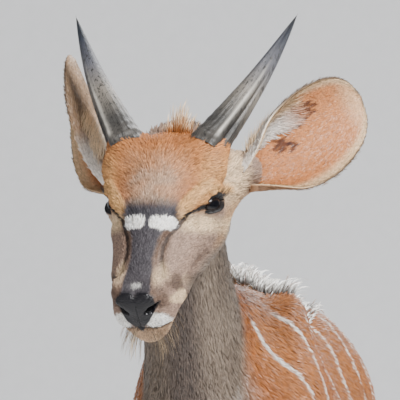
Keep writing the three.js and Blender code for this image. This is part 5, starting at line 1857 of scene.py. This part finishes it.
class NYALA_OT_horns(bpy.types.Operator):
    """Two nearly straight horns with a keel, a groove beside it and rough rings at the base."""

    bl_idname = "nyala.horns"
    bl_label = "Horns"

    def execute(self, context):
        settings = context.scene.nyala_head
        rows, columns = 150, 96
        for name, side in (("left_horn", 1), ("right_horn", -1)):
            aim = HORN_AIM * vec(side, 1, 1)
            front = unit(vec(0, -HORN_AIM[2], HORN_AIM[1]))
            front = unit(front - aim * (front @ aim))
            outer = np.cross(aim, front)
            t, turn = round_grid(HORN_SUNK, 1, rows, columns)
            clear = np.clip(t, 0, 1)
            middle = HORN_ROOT * vec(side, 1, 1) + aim * (HORN_LENGTH * t)[:, None]
            middle = middle + vec(side, 0, 0) * (HORN_BOW * np.sin(math.pi * clear))[:, None]
            radius = HORN_RADIUS * np.maximum(1 - t, 0.002) ** 0.82 - 0.4
            keel_turn = math.pi * (1 - KEEL_TURN * side)
            off_keel = (turn - keel_turn + math.pi) % (2 * math.pi) - math.pi
            grown = KEEL_RISE * np.exp(-(off_keel**2) * 10) * (1 - t)
            groove = GROOVE_DEPTH * hump(off_keel, -GROOVE_ASIDE * side, 0.13)
            groove = groove * smooth(0.62, 0.3, t) * smooth(-0.05, 0.04, t)
            rough = settings.horn_roughness * (
                np.sin(t * 95 + 1.5 * np.sin(turn * 2) + 0.7 * np.sin(turn * 5)) * smooth(0.32, 0.04, t)
                + 0.6 * np.sin(turn * 17 + 2 * np.sin(t * 9)) * smooth(0.75, 0.2, t)
            )
            collar = COLLAR_RISE * hump(t, 0.03, 0.03)
            size = radius * (1 + grown - groove + rough + collar)
            ring = front * (-np.cos(turn) * size * 1.06)[:, None]
            ring = ring + outer * (np.sin(turn) * size * 0.94)[:, None]
            points = from_head(middle + ring)
            # A pale streak along the keel: a painted highlight
            worn = 0.8 * hump(off_keel, 0.06 * side, 0.1) * smooth(0.7, 0.3, t) * smooth(0.0, 0.06, t)
            # A darker band beside the keel, toward the groove: painted shade
            deep = hump(off_keel, -0.3 * side, 0.17) * smooth(0.66, 0.3, t)
            around = 2 * np.abs(turn / math.pi - 1)
            mesh = mesh_from(
                name, points, ring_faces(rows, columns), along=clear, around=around, worn=worn, deep=deep
            )
            place(name + "_sheath", mesh, horn_material(), [name])
        return {"FINISHED"}


# Half the hoof's width at its sole, and how its top edge falls toward the heel
HOOF_HALF, HOOF_SLOPE = 11.6, 0.32


class NYALA_OT_hooves(bpy.types.Operator):
    """Eight hooves with rounded walls, a pointed toe and a soft upper edge."""

    bl_idname = "nyala.hooves"
    bl_label = "Hooves"

    def execute(self, context):
        levels, around = 22, 48
        for leg, joints in LEGS.items():
            own_side = 1 if leg.startswith("left") else -1
            for which, toe in (("outer", own_side), ("inner", -own_side)):
                s, turn = round_grid(0, 1, levels, around)
                front, rear = -44 + 25 * s, 19 + 3 * s
                drawn = 1 - 0.05 * smooth(0.12, 0, s) - 0.05 * smooth(0.9, 1, s) - 0.012 * np.sin(s * 40)
                y = (front + rear) / 2 + (rear - front) / 2 * np.cos(turn) * drawn
                point = 1 - 0.42 * (1 - s * 0.6) * np.maximum(0, -np.cos(turn)) ** 1.5
                x = toe * HOOF_OUT + (HOOF_HALF - 0.8 * s) * np.sin(turn) * point * drawn
                top = HOOF_HEIGHT - HOOF_SLOPE * y
                points = np.column_stack([x, y, s * top]) + joints["coronet"] * vec(1, 1, 0)
                name = f"{leg}_{which}_hoof"
                mesh = mesh_from(name, points, ring_faces(levels, around))
                self.close_ends(mesh, levels, around)
                place(name + "_wall", mesh, hoof_material(), [name])
        return {"FINISHED"}

    def close_ends(self, mesh, levels, around):
        work = bmesh.new()
        work.from_mesh(mesh)
        work.verts.ensure_lookup_table()
        work.faces.new([work.verts[i] for i in reversed(range(around))])
        work.faces.new([work.verts[(levels - 1) * around + i] for i in range(around)])
        work.to_mesh(mesh)
        work.free()


# The photograph's view: where the camera stands from the eyes, and where they fall in its square frame
VIEW_TURN, VIEW_RISE = math.radians(4.5), math.radians(-1)
VIEW_AWAY = 9.0
FRAME_SIZE = 400
EYES_PIXEL = (164.5, 205)
FRAME_WIDTH_THERE = 0.4


class NYALA_OT_stage(bpy.types.Operator):
    """The pale floor, the soft lights and the camera."""

    bl_idname = "nyala.stage"
    bl_label = "Stage"

    def execute(self, context):
        settings = context.scene.nyala_stage
        self.floor()
        self.lights(settings)
        self.camera()
        return {"FINISHED"}

    def floor(self):
        reach, rise, depth, bend = 6.0, 3.2, 3.4, 1.2
        rows = [(-reach, 0.0), (depth - bend, 0.0)]
        for turn in np.linspace(0.1, math.pi / 2, 16):
            rows.append((depth - bend + bend * math.sin(turn), bend - bend * math.cos(turn)))
        rows.append((depth, rise))
        mesh = bpy.data.meshes.new("floor")
        points = [(x, y, z) for y, z in rows for x in (-reach, reach)]
        faces = [(2 * i, 2 * i + 1, 2 * i + 3, 2 * i + 2) for i in range(len(rows) - 1)]
        mesh.from_pydata(points, [], faces)
        mesh.shade_smooth()
        floor = bpy.data.objects.new("floor", mesh)
        bpy.context.scene.collection.objects.link(floor)
        material, tree, shader = material_tree("pale_floor")
        grain = add(
            tree, "ShaderNodeTexNoise", {"Vector": own_place(tree, (1, 1, 1)), "Scale": 60.0, "Detail": 3.0}
        )
        tint = add(tree, "ShaderNodeMapRange", {"Value": grain.outputs[0], 3: 0.74, 4: 0.8})
        tree.links.new(tint.outputs[0], shader.inputs["Base Color"])
        shader.inputs["Roughness"].default_value = 0.9
        mesh.materials.append(material)

    def lights(self, settings):
        target = Vector(to_metres(HEAD_PLACE))
        for name, offset, size, power in (
            ("key", (1.9, -2.4, 2.2), 1.6, settings.key_power),
            ("fill", (-2.6, -2.6, 0.7), 2.4, settings.fill_power),
            ("rim", (0.9, 2.6, 2.0), 1.8, settings.rim_power),
        ):
            light = bpy.data.lights.new(name, "AREA")
            light.energy = power
            light.size = size
            lamp = bpy.data.objects.new(name, light)
            lamp.location = target + Vector(offset)
            lamp.rotation_euler = (target - lamp.location).to_track_quat("-Z", "Y").to_euler()
            bpy.context.scene.collection.objects.link(lamp)
        world = bpy.data.worlds.new("studio")
        world.use_nodes = True
        background = next(node for node in world.node_tree.nodes if node.type == "BACKGROUND")
        background.inputs[0].default_value = (0.86, 0.9, 1.0, 1)
        background.inputs[1].default_value = settings.sky_strength
        bpy.context.scene.world = world

    def camera(self):
        backward = Vector(
            (
                math.sin(VIEW_TURN) * math.cos(VIEW_RISE),
                -math.cos(VIEW_TURN) * math.cos(VIEW_RISE),
                math.sin(VIEW_RISE),
            )
        )
        data = bpy.data.cameras.new("photo_view")
        data.sensor_width = 36
        data.lens = data.sensor_width * VIEW_AWAY / FRAME_WIDTH_THERE
        data.shift_x = (FRAME_SIZE / 2 - EYES_PIXEL[0]) / FRAME_SIZE
        data.shift_y = (EYES_PIXEL[1] - FRAME_SIZE / 2) / FRAME_SIZE
        data.clip_end = 100
        camera = bpy.data.objects.new("photo_view", data)
        camera.location = Vector(to_metres(HEAD_PLACE)) + backward * VIEW_AWAY
        camera.rotation_euler = backward.to_track_quat("Z", "Y").to_euler()
        bpy.context.scene.collection.objects.link(camera)
        bpy.context.scene.camera = camera


class NyalaCoat(bpy.types.PropertyGroup):
    """The skin's fineness and how many tufts grow on each part."""

    skin_cell: bpy.props.FloatProperty(
        name="Skin cell",
        description="Spacing of the skin's points before the head is made finer",
        default=0.007,
        unit="LENGTH",
    )
    seed: bpy.props.IntProperty(
        name="Seed", description="Start of the steady random draw", default=11, subtype="UNSIGNED"
    )
    head_tufts: bpy.props.IntProperty(
        name="Head tufts", description="Tufts on the face and skull", default=64000, subtype="UNSIGNED"
    )
    neck_tufts: bpy.props.IntProperty(
        name="Neck tufts", description="Tufts on the neck", default=60000, subtype="UNSIGNED"
    )
    flank_tufts: bpy.props.IntProperty(
        name="Flank tufts", description="Tufts on each side of the trunk", default=62000, subtype="UNSIGNED"
    )
    leg_tufts: bpy.props.IntProperty(
        name="Leg tufts", description="Tufts on the four legs", default=60000, subtype="UNSIGNED"
    )
    ear_tufts: bpy.props.IntProperty(
        name="Ear tufts", description="Short tufts on each ear", default=15000, subtype="UNSIGNED"
    )


class NyalaHair(bpy.types.PropertyGroup):
    """The long hair of the crest, mane and tail."""

    crest_strands: bpy.props.IntProperty(
        name="Crest strands", description="Strands along the back", default=8000, subtype="UNSIGNED"
    )
    crest_length: bpy.props.FloatProperty(
        name="Crest length", description="Longest hair of the crest", default=0.056, unit="LENGTH"
    )
    mane_strands: bpy.props.IntProperty(
        name="Mane strands", description="Strands along the nape", default=7000, subtype="UNSIGNED"
    )
    mane_length: bpy.props.FloatProperty(
        name="Mane length", description="Longest hair of the mane", default=0.058, unit="LENGTH"
    )
    tail_strands: bpy.props.IntProperty(
        name="Tail strands", description="Strands of the tail", default=9000, subtype="UNSIGNED"
    )
    tail_length: bpy.props.FloatProperty(
        name="Tail length", description="Longest hair of the tail", default=0.092, unit="LENGTH"
    )


class NyalaHead(bpy.types.PropertyGroup):
    """Finish of the eyes and horns."""

    iris_colour: bpy.props.FloatVectorProperty(
        name="Iris", description="Colour of the iris", subtype="COLOR", size=3, default=(0.012, 0.006, 0.004)
    )
    horn_roughness: bpy.props.FloatProperty(
        name="Horn roughness",
        description="Height of the horn's rings and fibres as a share of its radius",
        default=0.018,
        subtype="FACTOR",
    )


class NyalaStage(bpy.types.PropertyGroup):
    """Power of the lights."""

    key_power: bpy.props.FloatProperty(
        name="Key", description="Main light, from the left and above", default=330.0, unit="POWER"
    )
    fill_power: bpy.props.FloatProperty(
        name="Fill", description="Wide light from the right", default=30.0, unit="POWER"
    )
    rim_power: bpy.props.FloatProperty(
        name="Rim", description="Light from behind", default=90.0, unit="POWER"
    )
    sky_strength: bpy.props.FloatProperty(
        name="Sky", description="Even light from all round", default=0.27, subtype="FACTOR"
    )


class NYALA_PT_panel(bpy.types.Panel):
    """Lists the pieces and their settings."""

    bl_label = "Young nyala ram"
    bl_space_type = "VIEW_3D"
    bl_region_type = "UI"
    bl_category = "Nyala"

    def draw(self, context):
        for operator in OPERATORS:
            self.layout.operator(operator.bl_idname)
        for name in SETTINGS:
            settings = getattr(context.scene, name)
            box = self.layout.box()
            for key in settings.__annotations__:
                box.prop(settings, key)


OPERATORS = (
    NYALA_OT_skin,
    NYALA_OT_coat,
    NYALA_OT_ear_hair,
    NYALA_OT_crest,
    NYALA_OT_mane,
    NYALA_OT_tail,
    NYALA_OT_whiskers,
    NYALA_OT_eyes,
    NYALA_OT_horns,
    NYALA_OT_hooves,
    NYALA_OT_stage,
)
SETTINGS = {
    "nyala_coat": NyalaCoat,
    "nyala_hair": NyalaHair,
    "nyala_head": NyalaHead,
    "nyala_stage": NyalaStage,
}


def register():
    for group in (*SETTINGS.values(), *OPERATORS, NYALA_PT_panel):
        bpy.utils.register_class(group)
    for name, group in SETTINGS.items():
        setattr(bpy.types.Scene, name, bpy.props.PointerProperty(type=group))


def unregister():
    for name in SETTINGS:
        delattr(bpy.types.Scene, name)
    for group in (NYALA_PT_panel, *OPERATORS, *SETTINGS.values()):
        bpy.utils.unregister_class(group)


def main():
    register()
    bpy.ops.nyala.skin()
    bpy.ops.nyala.coat()
    bpy.ops.nyala.ear_hair()
    bpy.ops.nyala.crest()
    bpy.ops.nyala.mane()
    bpy.ops.nyala.tail()
    bpy.ops.nyala.whiskers()
    bpy.ops.nyala.eyes()
    bpy.ops.nyala.horns()
    bpy.ops.nyala.hooves()
    bpy.ops.nyala.stage()


if __name__ == "__main__":
    main()
